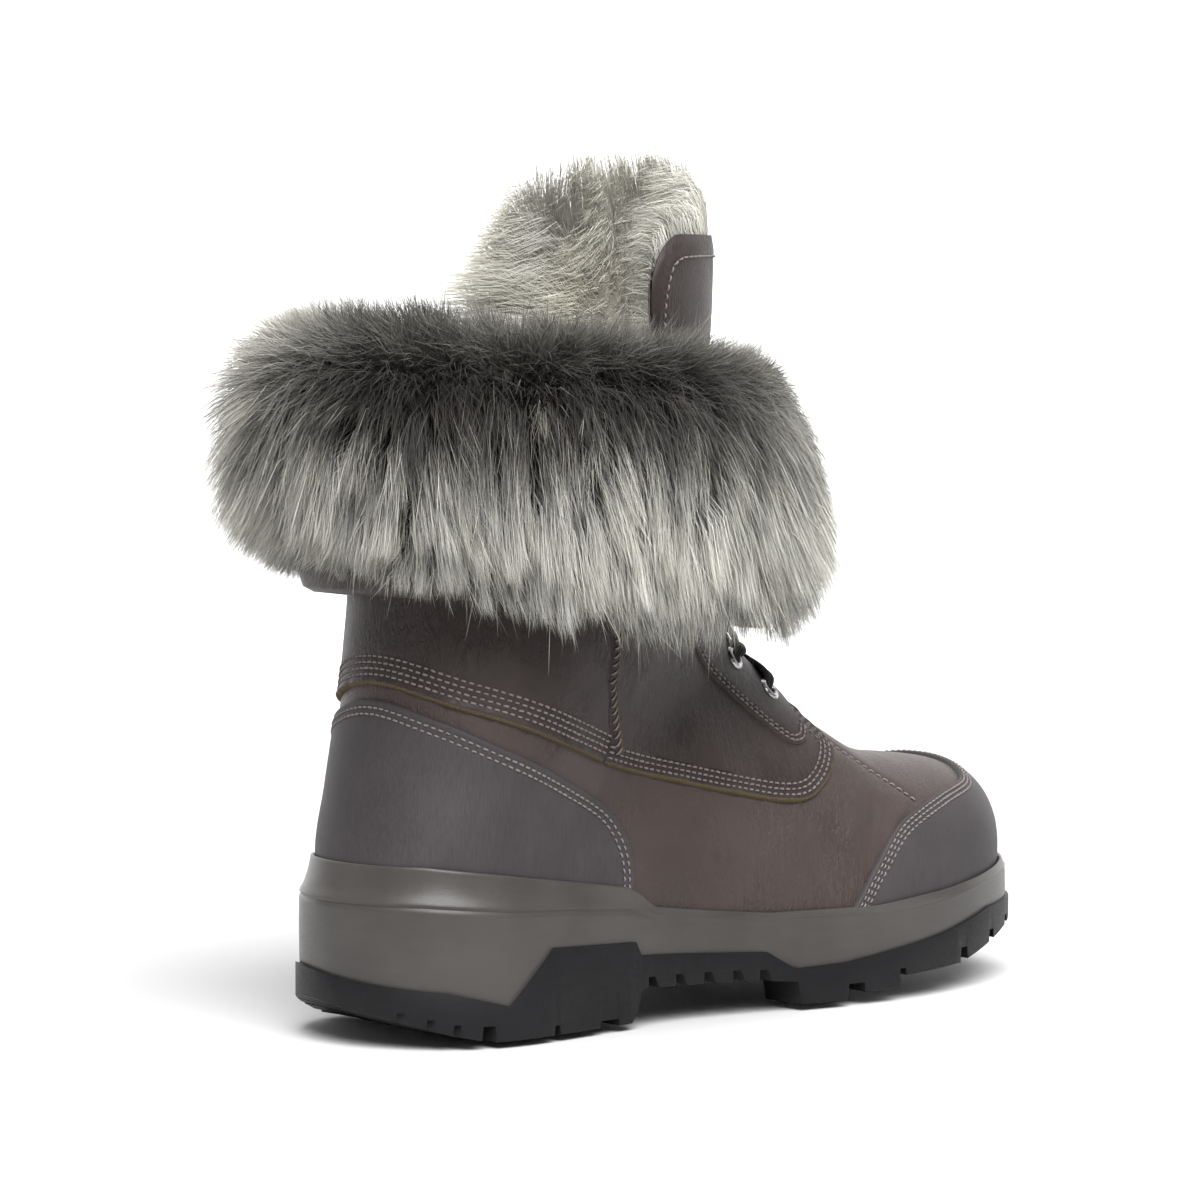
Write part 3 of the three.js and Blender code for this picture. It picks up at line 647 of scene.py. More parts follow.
def panel(name, edge, far, height, profile, material, slot, stitch_rows=(), rows=28, cut_ends=False,
          surface=None, widths=NEAR_EDGE, pitch=2.5):
    """A leather overlay from its cut edge to a far line; both are lists of places with equal counts.

    cut_ends says that its two ends are cut too, and surface adds height by place.
    """
    _, _, inward = frame_along(edge, far)
    room = np.linalg.norm(last_point(far) - last_point(edge), axis=1)
    steps = np.array(profile + [(d, 1, 0) for d in widths if d > profile[-1][0] + 0.2])
    steps = np.vstack([steps, np.tile([BEYOND, 1, 0], (rows - 1, 1))])
    near = np.array([inset_line(edge, inward, d, room) for d in steps[:1 - rows, 0]])
    v = np.linspace(0, 1, rows)[:, None, None]
    places = np.concatenate([near, relaxed(near[-1] * (1 - v) + far * v)[1:]])
    distances = np.minimum(steps[:, :1], room * REACH)
    distances[1 - rows:] = distances[-rows] + 5
    share, raw = steps[:, 1:2], steps[:, 2]
    full = share > 0.9
    tall = height * share * np.ones(distances.shape)
    for at in stitch_rows:
        tall -= STITCH_DIP * bell(distances - at, 0.5) * full
    body = last_point(places)
    if cut_ends:
        for column in (0, -1):
            away = np.linalg.norm(body - body[:, column][:, None], axis=-1)
            rounding = np.sqrt(1 - (1 - fade(away, 0, END_ROUNDING)) ** 2)
            tall = np.where(share > 0, tall * rounding - 0.5 * (away < 0.05), tall)
    if surface is not None:
        tall += surface(places, body) * full
    if raw.any():
        at = np.arange(body.shape[1])
        lift = 0.35 + 0.22 * np.sin(at * 0.21) + 0.16 * np.sin(at * 0.47 + 1) + 0.12 * np.sin(at * 0.9 + 2)
        tall += lift * bell(np.maximum(distances, 0), 1.6) * (share > 0.2)
    points = offset(places, tall)
    obj = sheet(
        name, points, [material, MAT["raw"]], slot, body.mean((0, 1)) * [1, 0, 1],
        face_material=np.repeat(raw[:-1], points.shape[1] - 1),
    )
    for at in stitch_rows:
        line = inset_line(edge, inward, at, room)
        stitch(offset(line, height - STITCH_SINK), last_normal(line), pitch=pitch)
    return obj


def soft_creases(folds):
    """Height by place from soft folds (x, z of both ends in side view, width, depth)."""

    def surface(places, body):
        total = np.zeros(body.shape[:-1])
        for x0, z0, x1, z1, width, depth in folds:
            a, b = np.array([x0, z0]), np.array([x1, z1])
            q = body[..., [0, 2]] - a
            along = np.clip((q @ (b - a)) / ((b - a) @ (b - a)), 0, 1)
            gap = np.linalg.norm(q - along[..., None] * (b - a), axis=-1)
            total += depth * bell(gap, width) * np.sin(np.pi * np.clip(along, 0.02, 0.98))
        return total

    return surface


VAMP_FOLDS = soft_creases([
    (196, 44, 203, 62, 2.6, 0.6), (189, 50, 197, 66, 1.9, -0.7), (181, 47, 188, 62, 2.8, 0.55),
    (171, 45, 178, 60, 2.0, -0.55), (203, 50, 214, 62, 1.7, -0.6), (150, 40, 158, 58, 3.5, 0.45),
    (160, 50, 168, 62, 1.6, -0.4), (142, 46, 150, 60, 2.0, -0.4), (186, 40, 190, 54, 1.5, -0.4),
    (60, 85, 76, 76, 1.1, -0.7), (44, 93, 62, 84.5, 1.2, 0.5), (67, 81.5, 80, 76, 0.9, 0.5),
    (50, 95, 70, 84, 0.9, -0.5), (30, 100, 48, 93, 1.1, -0.45),
    (95, 70, 120, 60, 3.5, -0.45), (110, 68, 128, 52, 2.2, 0.35), (130, 62, 160, 52, 4.5, 0.4),
    (82.5, 85, 79, 66, 0.9, -0.7),
])
QUARTER_FOLDS = soft_creases([
    (120, 82, 142, 92, 6, 0.5), (100, 86, 124, 90, 7, -0.4), (150, 78, 168, 76, 5, 0.35),
    (92, 95, 94, 120, 4, 0.4),
])
# The side seam's two rolls: name, distance from the seam line, half width, height, material.
SEAM_ROLLS = (
    ("side_seam_roll_", 1.9, 1.5, 1.2, MAT["leather"]),
    ("side_seam_edge_", 3.9, 0.9, 1.0, MAT["raw"]),
)


def side(places, medial):
    """Places given for the lateral side, on the side asked for."""
    return mirrored(places) if medial else np.asarray(places, float)


def make_vamp():
    along = np.concatenate([
        np.linspace(0, 2, 10, endpoint=False), np.linspace(2, 9, 90, endpoint=False),
        np.linspace(9, 16, 50, endpoint=False), np.linspace(16, 19.4, 6),
    ])
    places = grid(along, np.linspace(-180, 180, 205))
    body = last_point(places)
    tall = VAMP_FOLDS(places, body)
    seam = curve(locate(PLUG_SEAM), 60)
    for _, medial in SIDES:
        gap = np.min([np.linalg.norm(body - q, axis=-1) for q in last_point(side(seam, medial))], axis=0)
        tall -= 0.75 * bell(gap, 1.1) + 0.15 * bell(gap, 3.5)
    points = offset(places, tall)
    obj = sheet("vamp", points, MAT["vamp"], "leather", (140, 0, 100))
    mend(obj.data, 0.02)
    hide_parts("upper")
    for _, medial in SIDES:
        line = side(curve(locate(PLUG_SEAM), 80), medial)
        _, _, inward = frame_along(line, line + [0.0, 6.0])
        place = walk(line, inward, -0.2)
        stitch(offset(place, -0.55), last_normal(place), pitch=2.8, length=2.3, radius=0.46)


def around_heel(side_view, back, count):
    """Places from the lateral side round the back to the medial side, level at the back centre."""
    half = locate(curve(side_view, 120))
    u, a = half[-1]
    slope = (u - half[-4, 0]) / (a - half[-4, 1]) * a
    t = np.linspace(1, 0, 60)[1:]
    rest = back * (2 * t**3 - 3 * t**2 + 1) + u * (3 * t**2 - 2 * t**3) + slope * (t**3 - t**2)
    half = np.vstack([half, np.stack([rest, a * t], -1)])
    return evenly_placed(np.vstack([half, mirrored(half[-2::-1])]), count)


def make_counter():
    top = around_heel(COUNTER_EDGE, COUNTER_BACK[0], 220)
    foot = around_heel(COUNTER_FOOT, COUNTER_BACK[1], 220)
    obj = panel(
        "heel_counter_coated", top, foot, COATED, FOLDED_PROFILE, MAT["coated"], "coated_leather",
        stitch_rows=(2.5, 4.5),
    )
    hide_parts("heel_counter")


def make_toe_cap():
    angles = np.linspace(22, 180, 160)
    fine = curve(TOE_CAP_EDGE, 400)
    edge = evenly_placed(np.stack([np.interp(angles, fine[:, 0], fine[:, 1]), angles], -1), 150)
    edge = np.vstack([edge, [0, 360] + mirrored(edge[-2::-1])])
    obj = panel(
        "toe_cap_coated", edge, edge * [0, 1], COATED, FOLDED_PROFILE, MAT["coated"], "coated_leather",
        stitch_rows=(1.3, 2.7, 4.2),
    )
    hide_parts("toe_cap")


def make_quarters():
    seam, throat = seam_angle(RIM_ALONG)[0], throat_angle(RIM_ALONG)[0]
    edge = around_heel(QUARTER_BACK_EDGE, QUARTER_BACK_ALONG, 200)
    far = np.stack([np.full(200, RIM_ALONG), np.linspace(seam - 1.5, 1.5 - seam, 200)], -1)
    panel(
        "quarter_back", edge, far, QUARTER, RAW_PROFILE, MAT["leather"], "leather",
        stitch_rows=(2.2, 4.1, 6.0, 7.9), rows=34, cut_ends=True, widths=WIDE_EDGE,
    )
    end = [9.35, throat_angle(9.35)[0] - 3.0]  # where the edge goes in under the eyestay
    edge = evenly_placed(np.vstack([locate(curve(QUARTER_FRONT_EDGE, 150)), end]), 170)
    far = np.stack([np.full(170, RIM_ALONG), np.linspace(seam, throat, 170)], -1)
    for name, medial in SIDES:
        panel(
            "quarter_front_" + name, side(edge, medial), side(far, medial), QUARTER, RAW_PROFILE,
            MAT["leather"], "leather", stitch_rows=(1.3, 3.1, 4.9), rows=34, cut_ends=True,
            surface=QUARTER_FOLDS,
        )


def make_side_seams():
    """The rolled seam between the quarters, whipped with slanting stitches."""
    along = np.linspace(12.5, 17.5, 60)
    line = np.stack([along, seam_angle(along) + 0.5], -1)
    turn = np.linspace(-np.pi * 0.1, np.pi * 1.1, 9)
    wave = 1 + 0.12 * np.sin(np.arange(len(line)) * 1.3)[:, None]
    for side_name, medial in SIDES:
        place = side(line, medial)
        p, n, across = frame_along(place, place + [0, -6 if medial else 6])
        for name, at, half, tall, material in SEAM_ROLLS:
            roll = rings(p + across * at + n * (QUARTER - 0.5), -across * half * wave, n * tall, turn)
            sheet(name + side_name, roll, material, "leather", (SEAM_X, 0, 100))
        crest = p + across * SEAM_ROLLS[0][1] + n * (QUARTER + 0.65)
        stitch(crest, n, pitch=2.7, length=3.2, slant=0.95 if medial else -0.95)


def make_eyestays():
    edge = locate(curve(EYESTAY_EDGE, 140))
    along = np.linspace(edge[0, 0], 9.45, 140)
    inner = np.stack([along, throat_angle(along)], -1)
    for name, medial in SIDES:
        panel(
            "eyestay_" + name, side(edge, medial), side(inner, medial), EYESTAY, FOLDED_PROFILE,
            MAT["leather"], "leather", stitch_rows=(1.5, 3.2), rows=14, widths=NEAR_EDGE[:7], pitch=2.3,
        )
        wall = offset(side(inner, medial)[:, None], np.array([[EYESTAY, EYESTAY - 0.5, EYESTAY - 2, -2.5]]))
        sheet("eyestay_wall_" + name, wall, MAT["leather"], "leather", (140, 50 if medial else -50, 100))


# ---------------------------------------------------------------- sole

# Points of the tread's outline: the toe's tip, and x with the half widths on the lateral and medial side.
TOE_TIP = (292, 7)
SOLE_OUTLINE = [
    (4, 18.5, 18.5), (14, 32.5, 32.5), (28, 41, 41), (46, 44.5, 44.5), (79, 43, 41), (112, 42, 38),
    (145, 47.5, 40), (177, 53.5, 45.5), (209, 55, 49.5), (242, 48.5, 49), (270, 34.5, 41), (286, 15, 27),
]
# Heights by x: the outsole's top edge and its underside.
SEAM = [
    (-5, 16.6), (8, 16.3), (18, 15.6), (37, 10.5), (54, 27), (90, 25.4), (92.5, 20.9), (143, 17.8),
    (154, 11.5), (174, 12.2), (195, 15), (218, 17.9), (248, 23.4), (300, 24.5),
]
GROUND = [
    (-5, 11), (0, 9.8), (4, 8.2), (13, 4.6), (22, 1.8), (30, 0), (88, 0), (91, 4), (92.5, 10.4), (138, 9),
    (154.5, 7.4), (156, 0), (177, 0), (178, 2), (197, 2.4), (198, 6), (228, 7), (243, 10.4), (262, 14.8),
    (273, 16.8), (300, 18.5),
]
# Grooves across the tread: position at the edge, half width, top, and lean forward at the centre.
GROOVES = [
    (8, 0.8, 9.4, 0), (14, 0.9, 7.5, 0), (20.5, 0.9, 5.8, 0), (27.5, 1.9, 5, 4), (53, 1, 3, 4),
    (76, 4, 2.2, 4), (174.5, 3.2, 5.2, 7), (194.5, 1.2, 8.4, 7), (227.3, 1.8, 12, 6), (247.5, 1.6, 15.6, 5),
    (263.6, 1.4, 18.4, 4),
]
# Hollows along the tread: from, to, middle, half width, top.
CHANNELS = [(34, 86, 0, 9, 2.6), (148, 236, -2, 31, 7.8)]
ARCH_RIB_GAPS = [97, 109, 120.5, 131.5, 141.5]
# By x: heights of the midsole's ledge and top edge.
MIDSOLE = np.array([
    (-5, 43, 53.6), (12, 42.6, 53.6), (38, 40.4, 50.3), (62, 39, 46.8), (88, 36.5, 42.8), (94, 35, 40),
    (100, 33, 35.6), (123, 30, 32.5), (145, 27.5, 30), (188, 26.6, 29.2), (224, 29, 32), (252, 32.4, 35.2),
    (272, 34.6, 37.4), (300, 34.6, 37.4),
])
# Between the two: share of the height, and of the way in to the upper.
MIDSOLE_BAND = [
    (0, 0.06), (0.06, 0.14), (0.14, 0.3), (0.3, 0.5), (0.48, 0.68), (0.64, 0.8), (0.8, 0.9), (0.9, 0.96),
    (0.97, 1),
]
MIDSOLE_INSET = 1.2
SOLE_ENDS = (16, 276)  # beyond these the outline is followed round the heel and the toe
TREAD_DRAFT = 0.1  # how much a groove widens per mm downwards
CUT_FROM = -6  # the cutters reach this far below the ground
RIB_GAP, RIB_CUT, RIB_SLANT = 1.4, 3.6, 0.5  # cuts between the arch ribs: half width, depth, slant


def table(pairs, x):
    return np.interp(x, *np.transpose(pairs))


def back_climb(x, y, height, start, end, length):
    """Round the back, edges of the sole climb towards the medial side."""
    return height * fade(y, start, end) * np.sqrt(np.clip(1 - x / length, 0, 1))


def sole_seam(x, y):
    return table(SEAM, x) + back_climb(x, y, 5.2, -32, 24, 18)


def sole_ground(x, y):
    return table(GROUND, x) + back_climb(x, y, 4.4, -8, 30, 30)


def sole_outline(count):
    """Points round the sole from the heel over the lateral side, and their inward directions."""
    ring = [(0, 0)] + [(x, -lateral) for x, lateral, _ in SOLE_OUTLINE] + [TOE_TIP]
    ring += [(x, medial) for x, _, medial in reversed(SOLE_OUTLINE)]
    p = curve(ring, count + 1, closed=True)[:-1]
    t = unit(np.roll(p, -1, 0) - np.roll(p, 1, 0))
    return p, np.stack([-t[:, 1], t[:, 0]], -1)


def inset_to_upper(p, inward, z, gap):
    """How far points round the sole move in until they are a gap away from the upper's face."""
    place = grid(np.linspace(0.05, 18, 260), np.linspace(-179, 179, 300)).reshape(-1, 2)
    body, normal = last_point(place), last_normal(place)
    keep = (body[:, 2] < 70) & (body[:, 2] > 18)
    body, normal = body[keep], normal[keep]
    face = np.interp(body[:, 0], [91, 92, 182, 190], [COATED, VAMP, VAMP, COATED])
    tree = KDTree(len(body))
    for i, q in enumerate(body):
        tree.insert(q, i)
    tree.balance()
    inset = np.zeros(len(p))
    for _ in range(6):
        q = np.column_stack([p + inward * inset[:, None], z])
        for i, point in enumerate(q):
            _, k, _ = tree.find(point)
            inset[i] += np.clip((point - body[k]) @ normal[k] - face[k] - gap, -4, 4)
    return np.convolve(np.pad(inset, 4, "wrap"), np.ones(9) / 9, "valid")


def make_midsole():
    p, inward = sole_outline(420)
    x = p[:, 0]
    ledge, top = sample(x, MIDSOLE[:, 0], MIDSOLE[:, 1:]).T
    step = inset_to_upper(p + inward * MIDSOLE_INSET, inward, top, 1.3)
    foot = np.maximum(table(GROUND, x) + 4, np.minimum(sole_seam(x, p[:, 1]), 21) - 6)
    heel = fade(x, 100, 88)
    # height and distance inward of each ring, from the foot hidden in the outsole over the ledge to the lip
    profile = [
        (foot, 0.8), (foot + 3, 0.1), (ledge - 9, -0.1), (ledge - 5, 0.0), (ledge - 3, 0.0),
        (ledge - 1.8, 0.1), (ledge - 1.3, 0.1 + 0.45 * heel), (ledge - 0.9, 0.12 + 0.5 * heel),
        (ledge - 0.4, 0.1),
    ]
    profile += [(ledge + (top - ledge) * up, step * share) for up, share in MIDSOLE_BAND]
    profile += [(top, step + 0.35), (top - 0.1, step + 0.75), (top - 0.8, step + 1.2), (top - 4, step + 3)]
    points = []
    for z, inset in profile:
        q = p + inward * (MIDSOLE_INSET + inset * np.ones(len(x)))[:, None]
        points.append(np.column_stack([q, z]))
    obj = sheet("midsole_foam", np.array(points), MAT["midsole"], "midsole", (140, 0, 25), closed=True)
    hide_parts("midsole")


def block_plan(x0, x1, y0=-90, y1=90):
    """Outline from above of a straight block, as wide as the sole unless y is given."""
    return [(x0, y0), (x1, y0), (x1, y1), (x0, y1)]


def groove_plan(x, half, lean):
    """Outline from above of a groove across the tread that leans forward at the centre."""
    back, front = x - half, x + half
    return [(back, -90), (front, -90), (front + lean, 0), (front, 90), (back, 90), (back + lean, 0)]


def tread_cuts():
    """Each cut's outline below the ground, its outline at the top, and the top's height."""
    for x, half, level, lean in GROOVES:
        wide = half + TREAD_DRAFT * (level - CUT_FROM)
        yield groove_plan(x, wide, lean), groove_plan(x, half, lean), level
    for x0, x1, y, half, level in CHANNELS:
        plan = block_plan(x0, x1, y - half, y + half)
        yield plan, plan, level
    for x in ARCH_RIB_GAPS:
        level = table(GROUND, x) + RIB_CUT
        slant = RIB_SLANT * (level - CUT_FROM)
        yield block_plan(x - RIB_GAP, x + RIB_GAP + slant), block_plan(x - RIB_GAP, x + RIB_GAP), level


def cut(obj, low, high, level):
    """Cuts a block out of the object, between two outlines seen from above."""
    n = len(low)
    points = [(x, y, CUT_FROM) for x, y in low] + [(x, y, level) for x, y in high]
    faces = [tuple(range(n)), tuple(range(n, 2 * n))]
    faces += [(k, (k + 1) % n, (k + 1) % n + n, k + n) for k in range(n)]
    mesh = bpy.data.meshes.new("cutter")
    mesh.from_pydata([tuple(v) for v in row(points)], [], faces)
    mend(mesh)
    cutter = bpy.data.objects.new("cutter", mesh)
    bpy.context.scene.collection.objects.link(cutter)
    modifier = obj.modifiers.new("groove", "BOOLEAN")
    modifier.operation, modifier.solver, modifier.object = "DIFFERENCE", "EXACT", cutter
    apply_all(obj)
    bpy.data.objects.remove(cutter)


def make_outsole():
    p, _ = sole_outline(900)
    tip = int(np.argmax(p[:, 0]))
    corners = [x for x, _ in SEAM + GROUND if SOLE_ENDS[0] + 0.5 < x < SOLE_ENDS[1] - 0.5]
    between = np.arange(SOLE_ENDS[0] + 2, SOLE_ENDS[1] - 1, 3.0)
    middle = np.unique(np.round(np.concatenate([corners, between]), 2))
    middle = middle[np.concatenate([[True], np.diff(middle) > 0.3])]
    sides = []
    for half in (p[: tip + 1], np.vstack([p[tip:], p[:1]])[::-1]):
        heel = evenly(half[half[:, 0] <= SOLE_ENDS[0]], 16)
        toe = evenly(half[half[:, 0] >= SOLE_ENDS[1]], 16)
        sides.append(np.vstack([heel, np.column_stack([middle, np.interp(middle, *half.T)]), toe]))
    lateral, medial = sides
    columns = []
    for level, shares in ((sole_ground, np.linspace(0, 1, 9)), (sole_seam, np.linspace(1, 0, 9))):
        for share in shares:
            q = lateral + (medial - lateral) * share
            columns.append(np.column_stack([q, level(*q.T)]))
    points = np.stack(columns, 1)
    obj = sheet("outsole_rubber", points, MAT["outsole"], "outsole", (140, 0, 12), closed=True, smooth=False)
    mend(obj.data, 0.02)
    for low, high, level in tread_cuts():
        cut(obj, low, high, level)
    bevel = obj.modifiers.new("bevel", "BEVEL")
    bevel.width, bevel.segments = 0.5 * MM, 2
    bevel.limit_method, bevel.angle_limit = "ANGLE", math.radians(32)
    apply_all(obj)
    obj.data.polygons.foreach_set("use_smooth", np.full(len(obj.data.polygons), True))
    obj.data.set_sharp_from_angle(angle=math.radians(38))
    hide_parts("outsole")


def apply_all(obj):
    """Replaces the object's mesh by what its modifiers make of it."""
    bpy.context.view_layer.update()
    result = bpy.data.meshes.new_from_object(obj.evaluated_get(bpy.context.evaluated_depsgraph_get()))
    obj.modifiers.clear()
    obj.data = result


# ---------------------------------------------------------------- tongue, lining

TONGUE_FACE = -7.7  # height of the tongue's face over the last, away from the throat
TONGUE_WALL = 2.2
# Half the tongue's spread, in degrees round the last, by section.
TONGUE_ROWS = np.array([
    (7.6, 22), (9, 27), (10.5, 32), (12, 35), (14, 40), (16, 46), (18, 56), (19, 68), (20, 78), (20.9, 81),
    (21.27, 81),
])
TONGUE_FOOT, TONGUE_TOP = TONGUE_ROWS[0, 0], TONGUE_ROWS[-1, 0]
TONGUE_STITCHES = [
    (0.72, 0.97), (0.85, 0.97), (0.93, 0.96), (0.965, 0.92), (0.976, 0.86), (0.979, 0.7), (0.98, 0.3),
    (0.98, 0),
]


def tongue_place(up, across):
    """A place on the tongue's face: up from 0 to 1, across from -1 (medial) to 1 (lateral)."""
    along = TONGUE_FOOT + (TONGUE_TOP - TONGUE_FOOT) * up
    corner = 0.98 * fade(np.abs(across), 0.84, 1)
    drop = 0.75 * (1 - np.sqrt(1 - corner**2)) * fade(along, 18, 21.1)
    return np.stack([along - drop, 180 - table(TONGUE_ROWS, along) * across], -1)


def tongue_height(place):
    """The tongue's face bulges into the throat and lies behind the collar above it."""
    inside = np.abs(np.abs(place[..., 1]) - 180)
    bulge = np.exp(-((inside / 13) ** 4)) * fade(place[..., 0], 17.5, 16)
    low = fade(place[..., 0], 8.3, 9.3)
    return TONGUE_FACE + (5.4 * low + 7.2 * (1 - low)) * bulge


def make_tongue():
    up, across = np.moveaxis(grid(np.linspace(0, 1, 70), np.linspace(-1, 1, 81)), -1, 0)
    place = tongue_place(up, across)
    face = tongue_height(place)
    border = np.minimum(1 - up, 0.35 * (1 - np.abs(across)) + (up < 0.8))
    rounding = 0.9 * (1 - np.sqrt(1 - (1 - fade(border, 0, 0.012)) ** 2))
    front, back = offset(place, face - rounding), offset(place, face - TONGUE_WALL + rounding)
    sheet("tongue_leather", np.concatenate([front, back[::-1]]), MAT["leather"], "leather", (100, 0, 180))
    half = curve(TONGUE_STITCHES, 90)
    path = tongue_place(*np.vstack([half, mirrored(half[-2::-1])]).T)
    stitch(offset(path, tongue_height(path) + 0.1), last_normal(path), pitch=3.0, length=2.1, radius=0.38)


def make_tongue_fleece():
    up, across = np.moveaxis(grid(np.linspace(0.03, 1, 60), np.linspace(-1, 1, 70)), -1, 0)
    place = tongue_place(up, across)
    thick = 9 * np.sqrt(1 - across**6) * np.clip((up - 0.03) / 0.5, 0.2, 1)
    thick *= np.sqrt(np.clip((1.0 - up) / 0.05 + 0.15, 0, 1))
    points = offset(place, tongue_height(place) - TONGUE_WALL + 0.5 - thick)
    obj = sheet("tongue_fleece", points, MAT["fleece"], "fleece")
    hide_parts("tongue")


def make_lining():
    points = offset(grid(np.linspace(0.6, 19.6, 70), np.linspace(-180, 180, 97)), LINING)
    obj = sheet("lining_fleece", points, MAT["fleece"], "fleece")
    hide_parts("insole")


# ---------------------------------------------------------------- fur

HAIR_STEPS = 4
STEP = np.linspace(0, 1, HAIR_STEPS)  # how far along a hair its steps are
HAIR_WIDTHS = np.array([0.8, 1.0, 0.75])[:, None]  # shares of a hair's width, up to its pointed end
HAIR_WAVE = np.array([0, 1.0, -0.9, 0.7])[:, None]  # how far a wavy hair strays to the side at each step
HAIR_TRIANGLES = np.array([(0, 1, 3), (0, 3, 2), (2, 3, 5), (2, 5, 4), (4, 5, 6)])
UP = np.array([0, 0, 1.0])


def bezier(a, b, c):
    t = STEP[:, None]
    return (1 - t) ** 2 * a[:, None] + 2 * t * (1 - t) * b[:, None] + t**2 * c[:, None]


def jitter(spread, *shape):
    return rng.normal(0, spread, shape)


def locks(seed, key, values):
    """Values shared by all hairs of one lock; the key says which lock a hair is in."""
    return np.random.default_rng(seed).normal(0, 1, values)[key.astype(int) % values[0]]


def hair(name, paths, facing, width, tone, warmth, slot):
    """Tapered ribbons along paths (strand, step, xyz) with a tone along each and a warmth for each."""
    strands = len(paths)
    across = unit(np.cross(np.gradient(paths, axis=1), facing[:, None] + jitter(0.45, strands, 1, 3)))
    half = across[:, :3] * HAIR_WIDTHS * width[:, None, None] / 2
    pairs = np.stack([paths[:, :3] - half, paths[:, :3] + half], 2).reshape(strands, 6, 3)
    points = np.concatenate([pairs, paths[:, 3:]], 1)
    faces = (HAIR_TRIANGLES + (np.arange(strands) * 7)[:, None, None]).reshape(-1, 3)
    obj = piece(name, points, faces, MAT["fur"], slot)
    tone = np.clip(tone, 0.01, 0.99)[:, [0, 0, 1, 1, 2, 2, 3]]
    warm = np.clip(warmth, 0.01, 0.97)[:, None] + np.array([0, 0.02, 0, 0.02, 0, 0.02, 0.01])
    uv = np.stack([tone, warm], -1).reshape(-1, 2)[faces.ravel()]
    layer = obj.data.uv_layers.new(name=FUR_MAP)
    layer.uv.foreach_set("vector", uv.astype(np.float32).ravel())


# Hair of the cuff, from the inside of the fold over the top and down to the hem: share of the way,
# root, bend and tip, each as distance out from the shaft and height, at the back and at the front.
CUFF_BACK_HAIR = np.array([
    (0.00, 0, 200, -1, 211, -3, 221),
    (0.10, 4, 203, 9, 216, 15, 227),
    (0.20, 9, 202, 22, 216, 32, 222),
    (0.30, 12, 198, 30, 211, 44, 208),
    (0.38, 13.5, 194, 36, 205, 49, 190),
    (0.50, 14.5, 185, 40, 194, 49, 171),
    (0.65, 15, 174, 41, 180, 46, 157),
    (0.80, 16, 163, 37, 166, 40, 150),
    (0.91, 16.5, 155, 29, 155, 31, 146),
    (1.00, 17, 148, 22, 148, 23, 143),
])
CUFF_FRONT_HAIR = np.array([
    (0.00, 0, 194, -1, 201, -3, 207),
    (0.10, 4, 195, 6, 203, 9, 208),
    (0.20, 8, 193, 14, 202, 18, 200),
    (0.30, 11, 188, 21, 196, 26, 184),
    (0.38, 12, 183, 26, 190, 32, 170),
    (0.50, 13, 174, 29, 179, 35, 154),
    (0.65, 13.5, 162, 32, 166, 38, 139),
    (0.80, 14, 149, 31, 150, 36, 128),
    (0.91, 14.5, 139, 26, 137, 31, 119),
    (1.00, 15, 131, 20, 126, 22, 112),
])
CUFF_MIDDLE = (88, 0, 170)
CUFF_OPENING = 26  # half the front opening, in degrees
LOCK_ANGLE, LOCK_SHARE = 3.7, 0.15  # size of a lock round the cuff and down it
SOFT_SIDE, SOFT_BACK = 84, -34  # tips beyond this y and this x are drawn back in part


def shaft_point(angle, out, z):
    """A point out from the shaft, and the way out; angle 0 is the front, 90 the lateral side."""
    turn = np.radians(angle)
    levels = LAST[LAST[:, 1] >= 162]
    back, front, half = (np.interp(z, levels[:, 1], levels[:, k]) for k in (0, 2, 4))
    length = (front - back) / 2
    away = unit(np.stack([np.cos(turn) * half, -np.sin(turn) * length, 0 * z], -1))
    centre = np.stack([(front + back) / 2 + np.cos(turn) * length, -np.sin(turn) * half, z], -1)
    return centre + away * np.asarray(out)[..., None], away


def cuff_hair_rows(angle, share):
    """Root, bend and tip (out, z) for hair at an angle and a share of the way down the cuff."""
    front = ((1 + np.cos(np.radians(angle))) / 2)[..., None]
    hairs = sample(share, CUFF_BACK_HAIR[:, 0], CUFF_BACK_HAIR[:, 1:]) * (1 - front)
    hairs += sample(share, CUFF_FRONT_HAIR[:, 0], CUFF_FRONT_HAIR[:, 1:]) * front
    # the lateral side hangs lower
    droop = 12 * bell(angle - 112, 48) * fade(share, 0.45, 0.95)
    hairs[..., 3] -= 0.6 * droop
    hairs[..., 5] -= droop
    return hairs


def cuff_tone(paths, angle, shift, strand):
    """Dark in the band where the hair parts, pale below it, greyish brown with lighter tips above; tips are
    painted paler towards the back and the medial side and at the front of the lateral side, as painted
    highlight of backlit tips where the cuff turns side-on to the camera.
    """
    z = paths[..., 2]
    border = 179 + 15 * fade(angle, 150, 210) + shift
    pale = np.clip((border[:, None] - z) / 26, 0, 1)
    above = fade(z, 203, 215)
    # outer paints the tips paler where the cuff turns side-on to the camera: painted highlight standing in
    # for backlight
    outer = (fade(angle, 165, 215) + 0.55 * fade(angle, 86, 46))[:, None] * STEP**2
    upper = above * (0.07 + 0.24 * STEP**2) + 0.9 * outer
    return (0.03 + 0.76 * pale * (0.3 + 0.7 * STEP) + upper * (1 - pale)) * strand[:, None]


